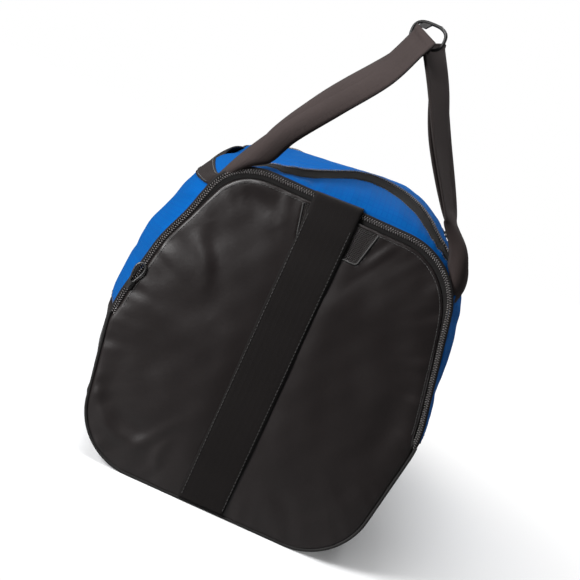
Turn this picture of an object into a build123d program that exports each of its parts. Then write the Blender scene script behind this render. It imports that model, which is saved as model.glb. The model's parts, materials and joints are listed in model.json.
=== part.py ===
from build123d import *
import math
import os

# Duffel bag, in millimetres. +Z is up, the near end faces -Y, and the origin is at the middle of the base.

os.makedirs("parts", exist_ok=True)

# Overall form
LENGTH = 600.0  # between the outer faces of the two end panels
END_SKIN = 2.5  # thickness of an end panel
WALL = 2.2  # fabric, lining and seam allowance of the long walls together
TUBE_END = LENGTH / 2 - END_SKIN  # where the long walls stop, either way from the middle
STRAIGHT_END = 200.0  # the bag keeps its full section as far as this from the middle
WAIST_Z = 155.0  # height at which every section is widest
WAIST_R = 120.0
BOOT_Z = 150.0  # top of the dark boot fabric
FREE = 0.4  # running gap between pieces that part when a zip opens

# Sections: half width at the waist, half width at the top corners, half width at the base corners,
# height, top corner radius, base corner radius
END_FORM = (170.0, 131.0, 146.0, 342.0, 74.0, 70.0)
MIDDLE_FORM = (182.0, 150.0, 156.0, 352.0, 100.0, 74.0)

# Main opening: the lid hinges on the left shoulder and its zip runs round the other three sides
HINGE_X = -100.0
LID_RIGHT = 128.0  # the zip's lengthwise run, on the right shoulder
LID_CORNERS = ((-62.0, 262.0, 60.0), (20.0, 208.0, 70.0), (LID_RIGHT, 306.0, 20.0))  # x, y, radius
LID_TAPE = 5.0  # width of the zip half on the lid
BODY_TAPE = 9.0  # width of the zip half on the bag
SEAM_X = LID_RIGHT + BODY_TAPE
LID_CUT_Z = 250.0  # the lid's outline is cut down to this height

# End pocket: the flap folds down about its bottom edge
FLAP_Z = 150.0
END_TAPE_OUT = 4.2  # width of the end zip's half on the bag
END_TAPE_IN = 12.0  # how far in from the edge the flap's zip half reaches
WEBBING_X = -5.0
WEBBING_WIDTH = 50.0
WEBBING = 1.8
PIPING = 2.5
PIPING_WIDTH = 3.5
VENT_TOP_Z = 327.0
VENT_BASE_Z = 292.0
VENT_TOP_HALF = 40.0
VENT_BASE_HALF = 32.0
VENT_X = 4.0

# Inside
DIVIDER = 1.2
DIVIDER_TOP = (-292.0, 345.0)  # y, z
DIVIDER_BASE = (-190.0, 2.5)
BOARD = 3.0
BOARD_HALF_WIDTH = 80.0
BOARD_NEAR_Y = -176.0
BOARD_FAR_Y = 280.0

# Shoulder strap: a loop standing on the near end
STRAP_WIDTH = 38.0
STRAP = 2.0
STRAP_Y = -LENGTH / 2 + 1.5  # middle of the strap's thickness
STRAP_HINGE_Z = 352.0
STRAP_HINGE_GAP = 2.0  # the legs stop this far above the hinge line
STRAP_SWING_CUT = 25.0  # degrees that the twisted leg's front edge is cut back, to swing past the anchor
ANCHOR_TAIL = 25.0  # how far the left end reaches down the seam from its root
LEFT_ROOT = (-113.5, 321.0)  # x, z
LEFT_TOP = (3.0, 514.0)
RIGHT_ROOT = (135.0, 302.0)
RIGHT_BEND = (106.0, 362.0)
RIGHT_TOP = (19.0, 511.0)
RIGHT_TWIST = 45.0
BUCKLE_AT = (9.0, 525.0)
BUCKLE_LEAN = -4.0  # degrees that the buckle's width rises to the right
BUCKLE_SIZE = (44.0, 27.0, 5.0)
BUCKLE_SLOT = (39.0, 3.6)
BUCKLE_SLOT_OFF = 6.5

# Carry handles, lengthwise on the shoulders
HANDLE_WIDTH = 25.0
HANDLE = 1.8
HANDLE_ANGLE = 35.0  # degrees above level at which the shoulder faces the handle
HANDLE_SEWN_END = 296.0
HANDLE_RAMP_START = 150.0
HANDLE_GRIP_END = 118.0
HANDLE_LIFT = 9.0
HANDLE_RISE = 20.0

# Zip sliders
SLIDER_LENGTH = 11.0
SLIDER_WIDTH = 8.0
SLIDER_BASE = 3.0
SLIDER_CLEAR = 0.4
PULL_LENGTH = 26.0
PULL_WIDTH = 7.0
PULL = 1.2
SLIDER_REST_Y = 20.0
END_SLIDER_Z = 183.0
END_CHAIN_IN = 4.5  # the end zip's chain runs this far in from the edge


def save(part, name):
    """Labels a finished piece and writes it."""
    part.label = name
    export_step(part, f"parts/{name}.step")


def cross_section(form, y, grow=0.0):
    """Loaf-shaped section of the bag at y, grown outwards by grow."""
    half_waist, half_top, half_base, height, top_radius, base_radius = form
    with BuildSketch(Plane.XZ.offset(-y)) as section:
        with BuildLine():
            Polyline(
                (-half_base, 0),
                (half_base, 0),
                (half_waist, WAIST_Z),
                (half_top, height),
                (-half_top, height),
                (-half_waist, WAIST_Z),
                close=True,
            )
        make_face()
        fillet(section.vertices().group_by(Axis.Y)[-1], top_radius)
        fillet(section.vertices().group_by(Axis.Y)[1], WAIST_R)
        fillet(section.vertices().group_by(Axis.Y)[0], base_radius)
        if grow:
            offset(amount=grow)
    return section.sketch


def bag_form(grow):
    """The bag's whole form between the end panels, grown outwards by grow."""
    with BuildPart() as form:
        add(cross_section(END_FORM, -TUBE_END, grow))
        add(cross_section(MIDDLE_FORM, -STRAIGHT_END, grow))
        add(cross_section(MIDDLE_FORM, STRAIGHT_END, grow))
        add(cross_section(END_FORM, TUBE_END, grow))
        loft(ruled=True)
    return form.part


def box_between(low, high, mode=Mode.ADD):
    """A box given by its two corners."""
    size = [b - a for a, b in zip(low, high)]
    with Locations(low):
        Box(*size, align=(Align.MIN, Align.MIN, Align.MIN), mode=mode)


def lid_outline(grow):
    """Column under the outline of the main opening, grown outwards; it runs past the hinge line."""
    near = [(x, -y) for x, y, _ in LID_CORNERS]
    far = [(x, y) for x, y, _ in reversed(LID_CORNERS)]
    radii = [r for _, _, r in LID_CORNERS]
    start_y = LID_CORNERS[0][1]
    with BuildPart() as column:
        with BuildSketch(Plane.XY.offset(LID_CUT_Z)):
            with BuildLine():
                route = FilletPolyline(
                    (HINGE_X - 40, -start_y),
                    *near,
                    *far,
                    (HINGE_X - 40, start_y),
                    radius=radii + radii[::-1],
                )
                Line(route @ 1, route @ 0)
            make_face()
            offset(amount=grow)
        extrude(amount=150)
    return column.part


def end_plate(y, outer, inner=None):
    """End panel blank from y to y - END_SKIN, or a ring if inner is given."""
    with BuildPart() as plate:
        extrude(cross_section(END_FORM, y, outer), amount=END_SKIN)
        if inner is not None:
            extrude(cross_section(END_FORM, y, inner), amount=END_SKIN, mode=Mode.SUBTRACT)
    return plate.part


OUTER = bag_form(0.0)
with BuildPart() as shell:
    add(OUTER)
    add(bag_form(-WALL), mode=Mode.SUBTRACT)
SHELL = shell.part

LID_CLOTH = lid_outline(-LID_TAPE)
LID_EDGE = lid_outline(-FREE / 2)
OPENING_EDGE = lid_outline(FREE / 2)
OPENING_CLOTH = lid_outline(BODY_TAPE)

# Base and boot panels

with BuildPart() as bottom_panel:
    add(SHELL)
    box_between((-86, -300, -1), (86, 300, 60), Mode.INTERSECT)
save(bottom_panel.part, "bottom_panel")

with BuildPart() as left_boot_panel:
    add(SHELL)
    box_between((-200, -300, -1), (-86, 300, BOOT_Z), Mode.INTERSECT)
save(left_boot_panel.part, "left_boot_panel")

with BuildPart() as right_boot_panel:
    add(SHELL)
    box_between((86, -300, -1), (200, 300, BOOT_Z), Mode.INTERSECT)
save(right_boot_panel.part, "right_boot_panel")

# Ripstop side panels and the two crescents beyond the main zip

with BuildPart() as left_side_panel:
    add(SHELL)
    box_between((-200, -300, BOOT_Z), (HINGE_X - FREE / 2, 300, 400), Mode.INTERSECT)
save(left_side_panel.part, "left_side_panel")

with BuildPart() as right_side_panel:
    add(SHELL)
    box_between((SEAM_X, -300, BOOT_Z), (200, 300, 400), Mode.INTERSECT)
save(right_side_panel.part, "right_side_panel")

with BuildPart() as near_top_panel:
    add(SHELL)
    box_between((HINGE_X - FREE / 2, -300, LID_CUT_Z), (SEAM_X, 0, 400), Mode.INTERSECT)
    add(OPENING_CLOTH, mode=Mode.SUBTRACT)
save(near_top_panel.part, "near_top_panel")

with BuildPart() as far_top_panel:
    add(SHELL)
    box_between((HINGE_X - FREE / 2, 0, LID_CUT_Z), (SEAM_X, 300, 400), Mode.INTERSECT)
    add(OPENING_CLOTH, mode=Mode.SUBTRACT)
save(far_top_panel.part, "far_top_panel")

# Main zip and lid

with BuildPart() as main_zip_body_half:
    add(SHELL)
    box_between((HINGE_X - FREE / 2, -300, LID_CUT_Z), (SEAM_X + 1, 300, 400), Mode.INTERSECT)
    add(OPENING_CLOTH, mode=Mode.INTERSECT)
    add(OPENING_EDGE, mode=Mode.SUBTRACT)
save(main_zip_body_half.part, "main_zip_body_half")

with BuildPart() as main_zip_lid_half:
    add(SHELL)
    box_between((HINGE_X + FREE / 2, -300, LID_CUT_Z), (SEAM_X, 300, 400), Mode.INTERSECT)
    add(LID_EDGE, mode=Mode.INTERSECT)
    add(LID_CLOTH, mode=Mode.SUBTRACT)
save(main_zip_lid_half.part, "main_zip_lid_half")

with BuildPart() as lid_panel:
    add(SHELL)
    box_between((HINGE_X + FREE / 2, -300, LID_CUT_Z), (SEAM_X, 300, 400), Mode.INTERSECT)
    add(LID_CLOTH, mode=Mode.INTERSECT)
save(lid_panel.part, "lid_panel")

# Near end: the panel below the zip's ends, the flap, its zip, vent, webbing and piping

with BuildPart() as end_panel_lower:
    add(end_plate(-TUBE_END, 0.0))
    split(bisect_by=Plane.XY.offset(FLAP_Z - FREE), keep=Keep.BOTTOM)
save(end_panel_lower.part, "end_panel_lower")

with BuildPart() as end_zip_body_half:
    add(end_plate(-TUBE_END, 0.0, -END_TAPE_OUT))
    split(bisect_by=Plane.XY.offset(FLAP_Z - FREE), keep=Keep.TOP)
save(end_zip_body_half.part, "end_zip_body_half")

with BuildPart() as end_zip_flap_half:
    add(end_plate(-TUBE_END, -END_TAPE_OUT - FREE, -END_TAPE_IN))
    split(bisect_by=Plane.XY.offset(FLAP_Z + FREE), keep=Keep.TOP)
save(end_zip_flap_half.part, "end_zip_flap_half")

with BuildPart() as vent_column:
    with BuildSketch(Plane.XZ.offset(TUBE_END)):
        with BuildLine():
            Polyline(
                (VENT_X - VENT_BASE_HALF, VENT_BASE_Z),
                (VENT_X + VENT_BASE_HALF, VENT_BASE_Z),
                (VENT_X + VENT_TOP_HALF, VENT_TOP_Z),
                (VENT_X - VENT_TOP_HALF, VENT_TOP_Z),
                close=True,
            )
        make_face()
    extrude(amount=END_SKIN)

with BuildPart() as end_panel_upper:
    add(end_plate(-TUBE_END, -END_TAPE_IN))
    split(bisect_by=Plane.XY.offset(FLAP_Z + FREE), keep=Keep.TOP)
    add(vent_column.part, mode=Mode.SUBTRACT)
save(end_panel_upper.part, "end_panel_upper")

with BuildPart() as vent_mesh:
    add(vent_column.part)
    split(bisect_by=Plane.XZ.offset(TUBE_END + 0.6), keep=Keep.TOP)
    split(bisect_by=Plane.XZ.offset(TUBE_END + 1.8), keep=Keep.BOTTOM)
save(vent_mesh.part, "vent_mesh")

with BuildPart() as end_webbing_upper:
    with BuildSketch(Plane.XZ.offset(LENGTH / 2)):
        with Locations((WEBBING_X, FLAP_Z + FREE)):
            Rectangle(WEBBING_WIDTH, 190, align=(Align.CENTER, Align.MIN))
    extrude(amount=WEBBING)
save(end_webbing_upper.part, "end_webbing_upper")

with BuildPart() as end_webbing_lower:
    with BuildSketch(Plane.XZ.offset(LENGTH / 2)):
        with Locations((WEBBING_X, FLAP_Z - FREE)):
            Rectangle(WEBBING_WIDTH, FLAP_Z - FREE - PIPING_WIDTH - 0.2, align=(Align.CENTER, Align.MAX))
    extrude(amount=WEBBING)
save(end_webbing_lower.part, "end_webbing_lower")

with BuildPart() as near_piping:
    extrude(cross_section(END_FORM, -LENGTH / 2), amount=PIPING)
    extrude(cross_section(END_FORM, -LENGTH / 2, -PIPING_WIDTH), amount=PIPING, mode=Mode.SUBTRACT)
    split(bisect_by=Plane.XY.offset(FLAP_Z - FREE), keep=Keep.BOTTOM)
save(near_piping.part, "near_piping")

# Far end

with BuildPart() as far_end_panel:
    add(end_plate(LENGTH / 2, 0.0))
save(far_end_panel.part, "far_end_panel")

with BuildPart() as far_piping:
    far_face = LENGTH / 2 + PIPING
    extrude(cross_section(END_FORM, far_face), amount=PIPING)
    extrude(cross_section(END_FORM, far_face, -PIPING_WIDTH), amount=PIPING, mode=Mode.SUBTRACT)
save(far_piping.part, "far_piping")

# Inside: the end pocket's sloping divider, and the base board

CAVITY = bag_form(-WALL)
with BuildPart() as pocket_divider:
    with BuildSketch(Plane.YZ.offset(-200)):
        with BuildLine():
            Polyline(
                DIVIDER_TOP,
                DIVIDER_BASE,
                (DIVIDER_BASE[0] + DIVIDER, DIVIDER_BASE[1]),
                (DIVIDER_TOP[0] + DIVIDER, DIVIDER_TOP[1]),
                close=True,
            )
        make_face()
    extrude(amount=400)
    add(CAVITY, mode=Mode.INTERSECT)
save(pocket_divider.part, "pocket_divider")

with BuildPart() as base_board:
    board_centre = (BOARD_NEAR_Y + BOARD_FAR_Y) / 2
    with BuildSketch(Plane.XY.offset(WALL)):
        with Locations((0, board_centre)):
            RectangleRounded(2 * BOARD_HALF_WIDTH, BOARD_FAR_Y - BOARD_NEAR_Y, 15)
    extrude(amount=BOARD)
save(base_board.part, "base_board")

# Shoulder strap

with BuildPart() as end_clearance:
    extrude(cross_section(END_FORM, STRAP_Y + 10, FREE), amount=20)


def strap_plane(foot, head, turn=0.0):
    """Plane whose X runs from foot to head, facing the near end but turned about that run."""
    run = Vector(head[0] - foot[0], 0, head[1] - foot[1]).normalized()
    forward = Vector(0, -1, 0)
    angle = math.radians(turn)
    facing = forward * math.cos(angle) + run.cross(forward) * math.sin(angle)
    return Plane(origin=(foot[0], STRAP_Y, foot[1]), x_dir=run, z_dir=facing)


def leg_length(foot, head):
    """Distance between the two ends of a strap leg."""
    return math.dist(foot, head)


with BuildPart() as buckle_clearance:
    with BuildSketch(Plane.XZ.offset(-STRAP_Y - 20)):
        with Locations(Location((BUCKLE_AT[0], BUCKLE_AT[1]), BUCKLE_LEAN)):
            Rectangle(BUCKLE_SIZE[0] + 3, BUCKLE_SIZE[1] + 3)
    extrude(amount=40)

with BuildPart() as strap_anchor_left:
    with BuildSketch(strap_plane(LEFT_ROOT, LEFT_TOP)):
        with Locations((-ANCHOR_TAIL, 0)):
            Rectangle(2 * ANCHOR_TAIL + 30, STRAP_WIDTH, align=(Align.MIN, Align.CENTER))
    extrude(amount=STRAP / 2, both=True)
    split(bisect_by=Plane.XY.offset(STRAP_HINGE_Z - FREE), keep=Keep.BOTTOM)
    add(end_clearance.part, mode=Mode.SUBTRACT)
save(strap_anchor_left.part, "strap_anchor_left")

with BuildPart() as strap_left_leg:
    with BuildSketch(strap_plane(LEFT_ROOT, LEFT_TOP)):
        Rectangle(leg_length(LEFT_ROOT, LEFT_TOP), STRAP_WIDTH, align=(Align.MIN, Align.CENTER))
    extrude(amount=STRAP / 2, both=True)
    split(bisect_by=Plane.XY.offset(STRAP_HINGE_Z + STRAP_HINGE_GAP), keep=Keep.TOP)
    add(buckle_clearance.part, mode=Mode.SUBTRACT)
save(strap_left_leg.part, "strap_left_leg")

with BuildPart() as strap_anchor_right:
    with BuildSketch(strap_plane(RIGHT_ROOT, RIGHT_BEND)):
        Rectangle(leg_length(RIGHT_ROOT, RIGHT_BEND) + 10, 26, align=(Align.MIN, Align.CENTER))
    extrude(amount=STRAP / 2, both=True)
    split(bisect_by=Plane.XY.offset(STRAP_HINGE_Z - FREE), keep=Keep.BOTTOM)
    add(end_clearance.part, mode=Mode.SUBTRACT)
save(strap_anchor_right.part, "strap_anchor_right")

swing_cut = Plane(
    origin=(0, STRAP_Y, STRAP_HINGE_Z + STRAP_HINGE_GAP),
    x_dir=(1, 0, 0),
    z_dir=(0, math.sin(math.radians(STRAP_SWING_CUT)), math.cos(math.radians(STRAP_SWING_CUT))),
)
with BuildPart() as strap_right_leg:
    with BuildSketch(strap_plane(RIGHT_BEND, RIGHT_TOP, RIGHT_TWIST)):
        with Locations((-ANCHOR_TAIL, 0)):
            Rectangle(
                leg_length(RIGHT_BEND, RIGHT_TOP) + ANCHOR_TAIL, STRAP_WIDTH, align=(Align.MIN, Align.CENTER)
            )
    extrude(amount=STRAP / 2, both=True)
    split(bisect_by=Plane.XY.offset(STRAP_HINGE_Z + STRAP_HINGE_GAP), keep=Keep.TOP)
    split(bisect_by=swing_cut, keep=Keep.TOP)
    add(buckle_clearance.part, mode=Mode.SUBTRACT)
save(strap_right_leg.part, "strap_right_leg")

with BuildPart() as strap_buckle:
    with BuildSketch(Plane.XZ.offset(-STRAP_Y - BUCKLE_SIZE[2] / 2)):
        with Locations(Location((BUCKLE_AT[0], BUCKLE_AT[1]), BUCKLE_LEAN)):
            RectangleRounded(BUCKLE_SIZE[0], BUCKLE_SIZE[1], 4)
            with Locations((0, -BUCKLE_SLOT_OFF), (0, BUCKLE_SLOT_OFF)):
                Rectangle(*BUCKLE_SLOT, mode=Mode.SUBTRACT)
    extrude(amount=BUCKLE_SIZE[2])
save(strap_buckle.part, "strap_buckle")

# Carry handles


def corner_centre(form):
    """Centre of a section's right top corner arc."""
    half_waist, half_top, _, height, radius, _ = form
    lean = math.atan2(half_waist - half_top, height - WAIST_Z)
    flat_half = half_top - radius * math.tan((math.pi / 2 - lean) / 2)
    return flat_half, height - radius


ARC_X, ARC_Z = corner_centre(MIDDLE_FORM)
ARC_R = MIDDLE_FORM[4]
FACING = Vector(math.cos(math.radians(HANDLE_ANGLE)), 0, math.sin(math.radians(HANDLE_ANGLE)))
SHOULDER = Vector(ARC_X, 0, ARC_Z) + FACING * ARC_R
CLOTH_TOP = bag_form(HANDLE)


def handle_profile_plane(side):
    """Plane through a handle's middle: X along the bag, Y straight out from the shoulder."""
    facing = Vector(side * FACING.X, 0, FACING.Z)
    origin = Vector(side * SHOULDER.X, 0, SHOULDER.Z)
    return Plane(origin=origin, x_dir=(0, 1, 0), z_dir=Vector(0, 1, 0).cross(facing))


def handle_webbing(side):
    """The two stretches of a handle sewn to the shoulder, each with the short rise to the grip."""
    plane = handle_profile_plane(side)
    with BuildPart() as webbing:
        add(CLOTH_TOP)
        add(OUTER, mode=Mode.SUBTRACT)
        with BuildSketch(plane):
            Rectangle(2 * HANDLE_SEWN_END, 80)
        extrude(amount=HANDLE_WIDTH / 2, both=True, mode=Mode.INTERSECT)
        with BuildSketch(plane):
            Rectangle(2 * HANDLE_RAMP_START, 80)
        extrude(amount=HANDLE_WIDTH, both=True, mode=Mode.SUBTRACT)
        for end in (-1, 1):
            with BuildSketch(plane):
                with BuildLine():
                    Polyline(
                        (end * HANDLE_RAMP_START, 0),
                        (end * (HANDLE_GRIP_END + 1), HANDLE_LIFT - HANDLE),
                        (end * (HANDLE_GRIP_END + 1), HANDLE_LIFT),
                        (end * HANDLE_RAMP_START, HANDLE),
                        close=True,
                    )
                make_face()
            extrude(amount=HANDLE_WIDTH / 2, both=True)
    return webbing.part


def handle_grip(side):
    """The free middle of a handle, a shallow arch standing off the shoulder."""
    inner_lift = HANDLE_LIFT - HANDLE
    inner_rise = HANDLE_RISE - HANDLE
    with BuildPart() as grip:
        with BuildSketch(handle_profile_plane(side)):
            with BuildLine():
                outer = ThreePointArc(
                    (-HANDLE_GRIP_END, HANDLE_LIFT), (0, HANDLE_RISE), (HANDLE_GRIP_END, HANDLE_LIFT)
                )
                inner = ThreePointArc(
                    (-HANDLE_GRIP_END, inner_lift), (0, inner_rise), (HANDLE_GRIP_END, inner_lift)
                )
                Line(outer @ 0, inner @ 0)
                Line(outer @ 1, inner @ 1)
            make_face()
        extrude(amount=HANDLE_WIDTH / 2, both=True)
    return grip.part


for side, word in ((-1, "left"), (1, "right")):
    save(handle_webbing(side), f"{word}_handle_webbing")
    save(handle_grip(side), f"{word}_handle_grip")

# Zip sliders: a body that rides on the teeth, and a pull that turns about the bridge


def slider_body(plane):
    """Slider body on a plane whose X runs along the zip and whose normal points away from the bag."""
    base_top = SLIDER_CLEAR + SLIDER_BASE
    with BuildPart() as body:
        with BuildSketch(plane.offset(SLIDER_CLEAR)):
            RectangleRounded(SLIDER_LENGTH, SLIDER_WIDTH, 2.5)
        extrude(amount=SLIDER_BASE)
        with BuildSketch(plane.offset(base_top)):
            with Locations((-3.6, 0), (3.6, 0)):
                Rectangle(1.2, 2.4)
        extrude(amount=2.4)
        with BuildSketch(plane.offset(base_top + 2.4)):
            Rectangle(8.4, 2.4)
        extrude(amount=1.0)
    return body.part


def slider_pull(plane, ring=False):
    """Pull lying along +X of the plane, its end bar inside the bridge."""
    eye_start = 0.6
    eye_length = 5.2
    with BuildPart() as pull:
        with BuildSketch(plane.offset(SLIDER_CLEAR + SLIDER_BASE + 0.6)):
            with Locations((-eye_start, 0)):
                Rectangle(PULL_LENGTH, PULL_WIDTH, align=(Align.MIN, Align.CENTER))
            if ring:
                with Locations((PULL_LENGTH - 7, 0)):
                    Circle(7.5)
                    Circle(4.6, mode=Mode.SUBTRACT)
            with Locations((eye_start, 0)):
                Rectangle(eye_length, 3.6, align=(Align.MIN, Align.CENTER), mode=Mode.SUBTRACT)
        extrude(amount=PULL)
    return pull.part


lid_run_sine = (LID_RIGHT - ARC_X) / ARC_R
lid_run_cosine = math.sqrt(1 - lid_run_sine**2)
LID_RUN_Z = ARC_Z + ARC_R * lid_run_cosine
for word, side in (("near", -1), ("far", 1)):
    zip_plane = Plane(
        origin=(LID_RIGHT, side * SLIDER_REST_Y, LID_RUN_Z),
        x_dir=(0, side, 0),
        z_dir=(lid_run_sine, 0, lid_run_cosine),
    )
    save(slider_body(zip_plane), f"main_slider_{word}")
    save(slider_pull(zip_plane), f"main_pull_{word}")

side_lean = math.atan2(END_FORM[0] - END_FORM[1], END_FORM[3] - WAIST_Z)
side_x = END_FORM[0] - (END_SLIDER_Z - WAIST_Z) * math.tan(side_lean)
end_plane = Plane(
    origin=(
        -side_x + END_CHAIN_IN * math.cos(side_lean),
        -LENGTH / 2,
        END_SLIDER_Z - END_CHAIN_IN * math.sin(side_lean),
    ),
    x_dir=(math.sin(side_lean), 0, math.cos(side_lean)),
    z_dir=(0, -1, 0),
)
save(slider_body(end_plane), "end_slider")
save(slider_pull(end_plane, ring=True), "end_ring_pull")
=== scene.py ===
import json
import math

import bmesh
import bpy
import numpy as np
from mathutils import Matrix, Vector


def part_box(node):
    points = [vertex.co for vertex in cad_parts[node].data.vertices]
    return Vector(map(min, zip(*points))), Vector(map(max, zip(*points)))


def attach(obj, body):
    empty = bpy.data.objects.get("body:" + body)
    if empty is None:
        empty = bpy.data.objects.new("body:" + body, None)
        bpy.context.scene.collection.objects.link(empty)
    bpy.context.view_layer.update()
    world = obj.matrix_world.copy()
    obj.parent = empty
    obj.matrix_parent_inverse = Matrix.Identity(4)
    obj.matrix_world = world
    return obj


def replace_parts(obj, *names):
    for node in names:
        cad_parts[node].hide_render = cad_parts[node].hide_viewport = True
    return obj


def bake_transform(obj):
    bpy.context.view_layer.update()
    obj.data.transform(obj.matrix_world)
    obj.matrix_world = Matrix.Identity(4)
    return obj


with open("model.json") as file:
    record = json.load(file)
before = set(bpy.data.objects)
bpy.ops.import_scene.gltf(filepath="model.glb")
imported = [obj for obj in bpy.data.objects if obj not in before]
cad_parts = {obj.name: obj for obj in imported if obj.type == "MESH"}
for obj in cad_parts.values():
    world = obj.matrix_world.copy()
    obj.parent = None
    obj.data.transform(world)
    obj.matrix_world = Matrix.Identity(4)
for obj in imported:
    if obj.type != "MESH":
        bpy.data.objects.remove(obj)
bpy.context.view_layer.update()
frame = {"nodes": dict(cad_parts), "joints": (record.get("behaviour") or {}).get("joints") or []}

# Duffel bag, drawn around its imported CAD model. Layout sizes are in millimetres, like the design's, and a mesh is
# turned into metres when it is made. +Z is up, the near end faces -Y, s runs round the bag and y along it.

MM = 0.001

# The bag's form, the same as the CAD model's: half width at the waist, at the top corners and at the base corners,
# height, top corner radius, base corner radius
END_FORM = (170.0, 131.0, 146.0, 342.0, 74.0, 70.0)
MIDDLE_FORM = (182.0, 150.0, 156.0, 352.0, 100.0, 74.0)
WAIST_Z = 155.0
WAIST_R = 120.0
NEAR_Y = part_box("end_panel_lower")[0].y / MM
TUBE_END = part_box("left_side_panel")[1].y / MM
BOOT_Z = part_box("left_boot_panel")[1].z / MM
HINGE_X = -100.0
LID_FOLD_X = -108.0  # the lid's cloth starts here, at the fold between the bag and the lid
LID_RIGHT = 128.0
LID_CORNERS = ((-62.0, 262.0, 60.0), (20.0, 208.0, 70.0), (LID_RIGHT, 306.0, 20.0))
LID_TAPE = 5.0
BODY_TAPE = 9.0
SEAM_X = LID_RIGHT + BODY_TAPE
FLAP_Z = 150.0
FLAP_BEND = (138.0, 163.0)  # heights about the flap's fold over which the end panel's edge draws in from its lower inset to its upper one
END_CHAIN_IN = 4.5
END_CLOTH_IN = 11.5
END_CLOTH_SIDE = 7.2
WEBBING_LEFT, WEBBING_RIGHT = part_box("end_webbing_upper")[0].x / MM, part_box("end_webbing_upper")[1].x / MM
STRAP_Y = NEAR_Y + 1.5
STRAP_WIDTH = 38.0


# ---------------------------------------------------------------- curves and noise


def run_of(points):
    """How far along a path each of its points is."""
    return np.concatenate([[0], np.cumsum(np.linalg.norm(np.diff(points, axis=0), axis=1))])


def resampled(at, step, rows):
    """The rows, known at the places step, read at the places at."""
    return np.stack([np.interp(at, step, rows[:, k]) for k in range(rows.shape[1])], 1)


def unit(v):
    """v scaled to length 1, along the last axis."""
    v = np.asarray(v, float)
    return v / np.maximum(np.linalg.norm(v, axis=-1, keepdims=True), 1e-12)


def smooth(low, high, v):
    """0 below low, 1 above high, an S-curve between."""
    t = np.clip((np.asarray(v, float) - low) / (high - low), 0, 1)
    return t * t * (3 - 2 * t)


def through(v, knots, values):
    """A smooth curve through the values at the knots, read at v."""
    knots, values = np.asarray(knots, float), np.asarray(values, float)
    slope = np.gradient(values, knots)
    v = np.clip(v, knots[0], knots[-1])
    i = np.clip(np.searchsorted(knots, v, side="right") - 1, 0, len(knots) - 2)
    width = knots[i + 1] - knots[i]
    t = (v - knots[i]) / width
    a, b = values[i], values[i + 1]
    m, n = slope[i] * width, slope[i + 1] * width
    return (2 * t**3 - 3 * t**2 + 1) * a + (t**3 - 2 * t**2 + t) * m + (3 * t**2 - 2 * t**3) * b + (t**3 - t**2) * n


def waves(u, v, size, seed, stretch=1.0):
    """Smooth unit noise over u and v with bumps of about that size; stretch makes them longer along v."""
    rng = np.random.default_rng(seed)
    total = 0.0
    for _ in range(9):
        angle = rng.uniform(0, 2 * math.pi)
        length = size * rng.uniform(0.7, 1.6)
        phase = rng.uniform(0, 2 * math.pi)
        total = total + np.sin(2 * math.pi * (u * math.cos(angle) + v / stretch * math.sin(angle)) / length + phase)
    return total / 3.0


def polyline(points, spacing):
    """Points spaced evenly along straight runs through the given ones."""
    points = np.asarray(points, float)
    runs = np.linalg.norm(np.diff(points, axis=0), axis=1)
    along = np.concatenate([[0], np.cumsum(runs)])
    count = max(2, int(round(along[-1] / spacing)) + 1)
    at = np.linspace(0, along[-1], count)
    return np.stack([np.interp(at, along, points[:, k]) for k in range(points.shape[1])], 1)


def curve(points, spacing):
    """Points spaced evenly along a smooth curve through the given ones."""
    points = np.asarray(points, float)
    along = np.arange(len(points), dtype=float)
    fine = np.linspace(0, along[-1], 40 * len(points))
    dense = np.stack([through(fine, along, points[:, k]) for k in range(points.shape[1])], 1)
    return polyline(dense, spacing)


def rounded(points, radii):
    """A polyline with each inner corner rounded to its radius."""
    points = [np.array(p, float) for p in points]
    out = [points[0]]
    for before, corner, after, radius in zip(points, points[1:], points[2:], radii):
        back, on = unit(before - corner), unit(after - corner)
        half = math.acos(np.clip(back @ on, -1, 1)) / 2
        centre = corner + unit(back + on) * radius / math.sin(half)
        first, last = corner + back * radius / math.tan(half), corner + on * radius / math.tan(half)
        a0 = math.atan2(*(first - centre)[::-1])
        turn = (math.atan2(*(last - centre)[::-1]) - a0 + math.pi) % (2 * math.pi) - math.pi
        for t in np.linspace(0, 1, 14):
            out.append(centre + radius * np.array([math.cos(a0 + turn * t), math.sin(a0 + turn * t)]))
    out.append(points[-1])
    return np.array(out)


# ---------------------------------------------------------------- the bag's surface


def half_section(form):
    """The six-cornered section's right half from the base's middle to the top's, as stretches of points."""
    half_waist, half_top, half_base, height, top_radius, base_radius = form
    corners = [(0, 0), (half_base, 0), (half_waist, WAIST_Z), (half_top, height), (0, height)]
    corners = [np.array(c, float) for c in corners]
    made, start = [], corners[0]
    for before, corner, after, radius in zip(corners, corners[1:], corners[2:], (base_radius, WAIST_R, top_radius)):
        back, on = unit(before - corner), unit(after - corner)
        half = math.acos(back @ on) / 2
        centre = corner + unit(back + on) * radius / math.sin(half)
        first, last = corner + back * radius / math.tan(half), corner + on * radius / math.tan(half)
        made.append(("line", start, first))
        made.append(("arc", centre, radius, math.atan2(*(first - centre)[::-1]), math.atan2(*(last - centre)[::-1])))
        start = last
    made.append(("line", start, corners[4]))
    return made


def section_points(form, counts):
    """Points down a form's right half, from the top's middle to the base's."""
    points = []
    for stretch, count in zip(half_section(form), counts):
        for t in np.linspace(0, 1, count, endpoint=False):
            if stretch[0] == "line":
                points.append(stretch[1] * (1 - t) + stretch[2] * t)
            else:
                _, centre, radius, a, b = stretch
                angle = a + (b - a) * t
                points.append(centre + radius * np.array([math.cos(angle), math.sin(angle)]))
    points.append(np.array([0.0, form[3]]))
    return np.array(points[::-1])


COUNTS = (100, 90, 30, 50, 60, 130, 60)
MIDDLE = section_points(MIDDLE_FORM, COUNTS)
END = section_points(END_FORM, COUNTS)
AROUND = run_of(MIDDLE)
HALF_GIRTH = AROUND[-1]


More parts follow.
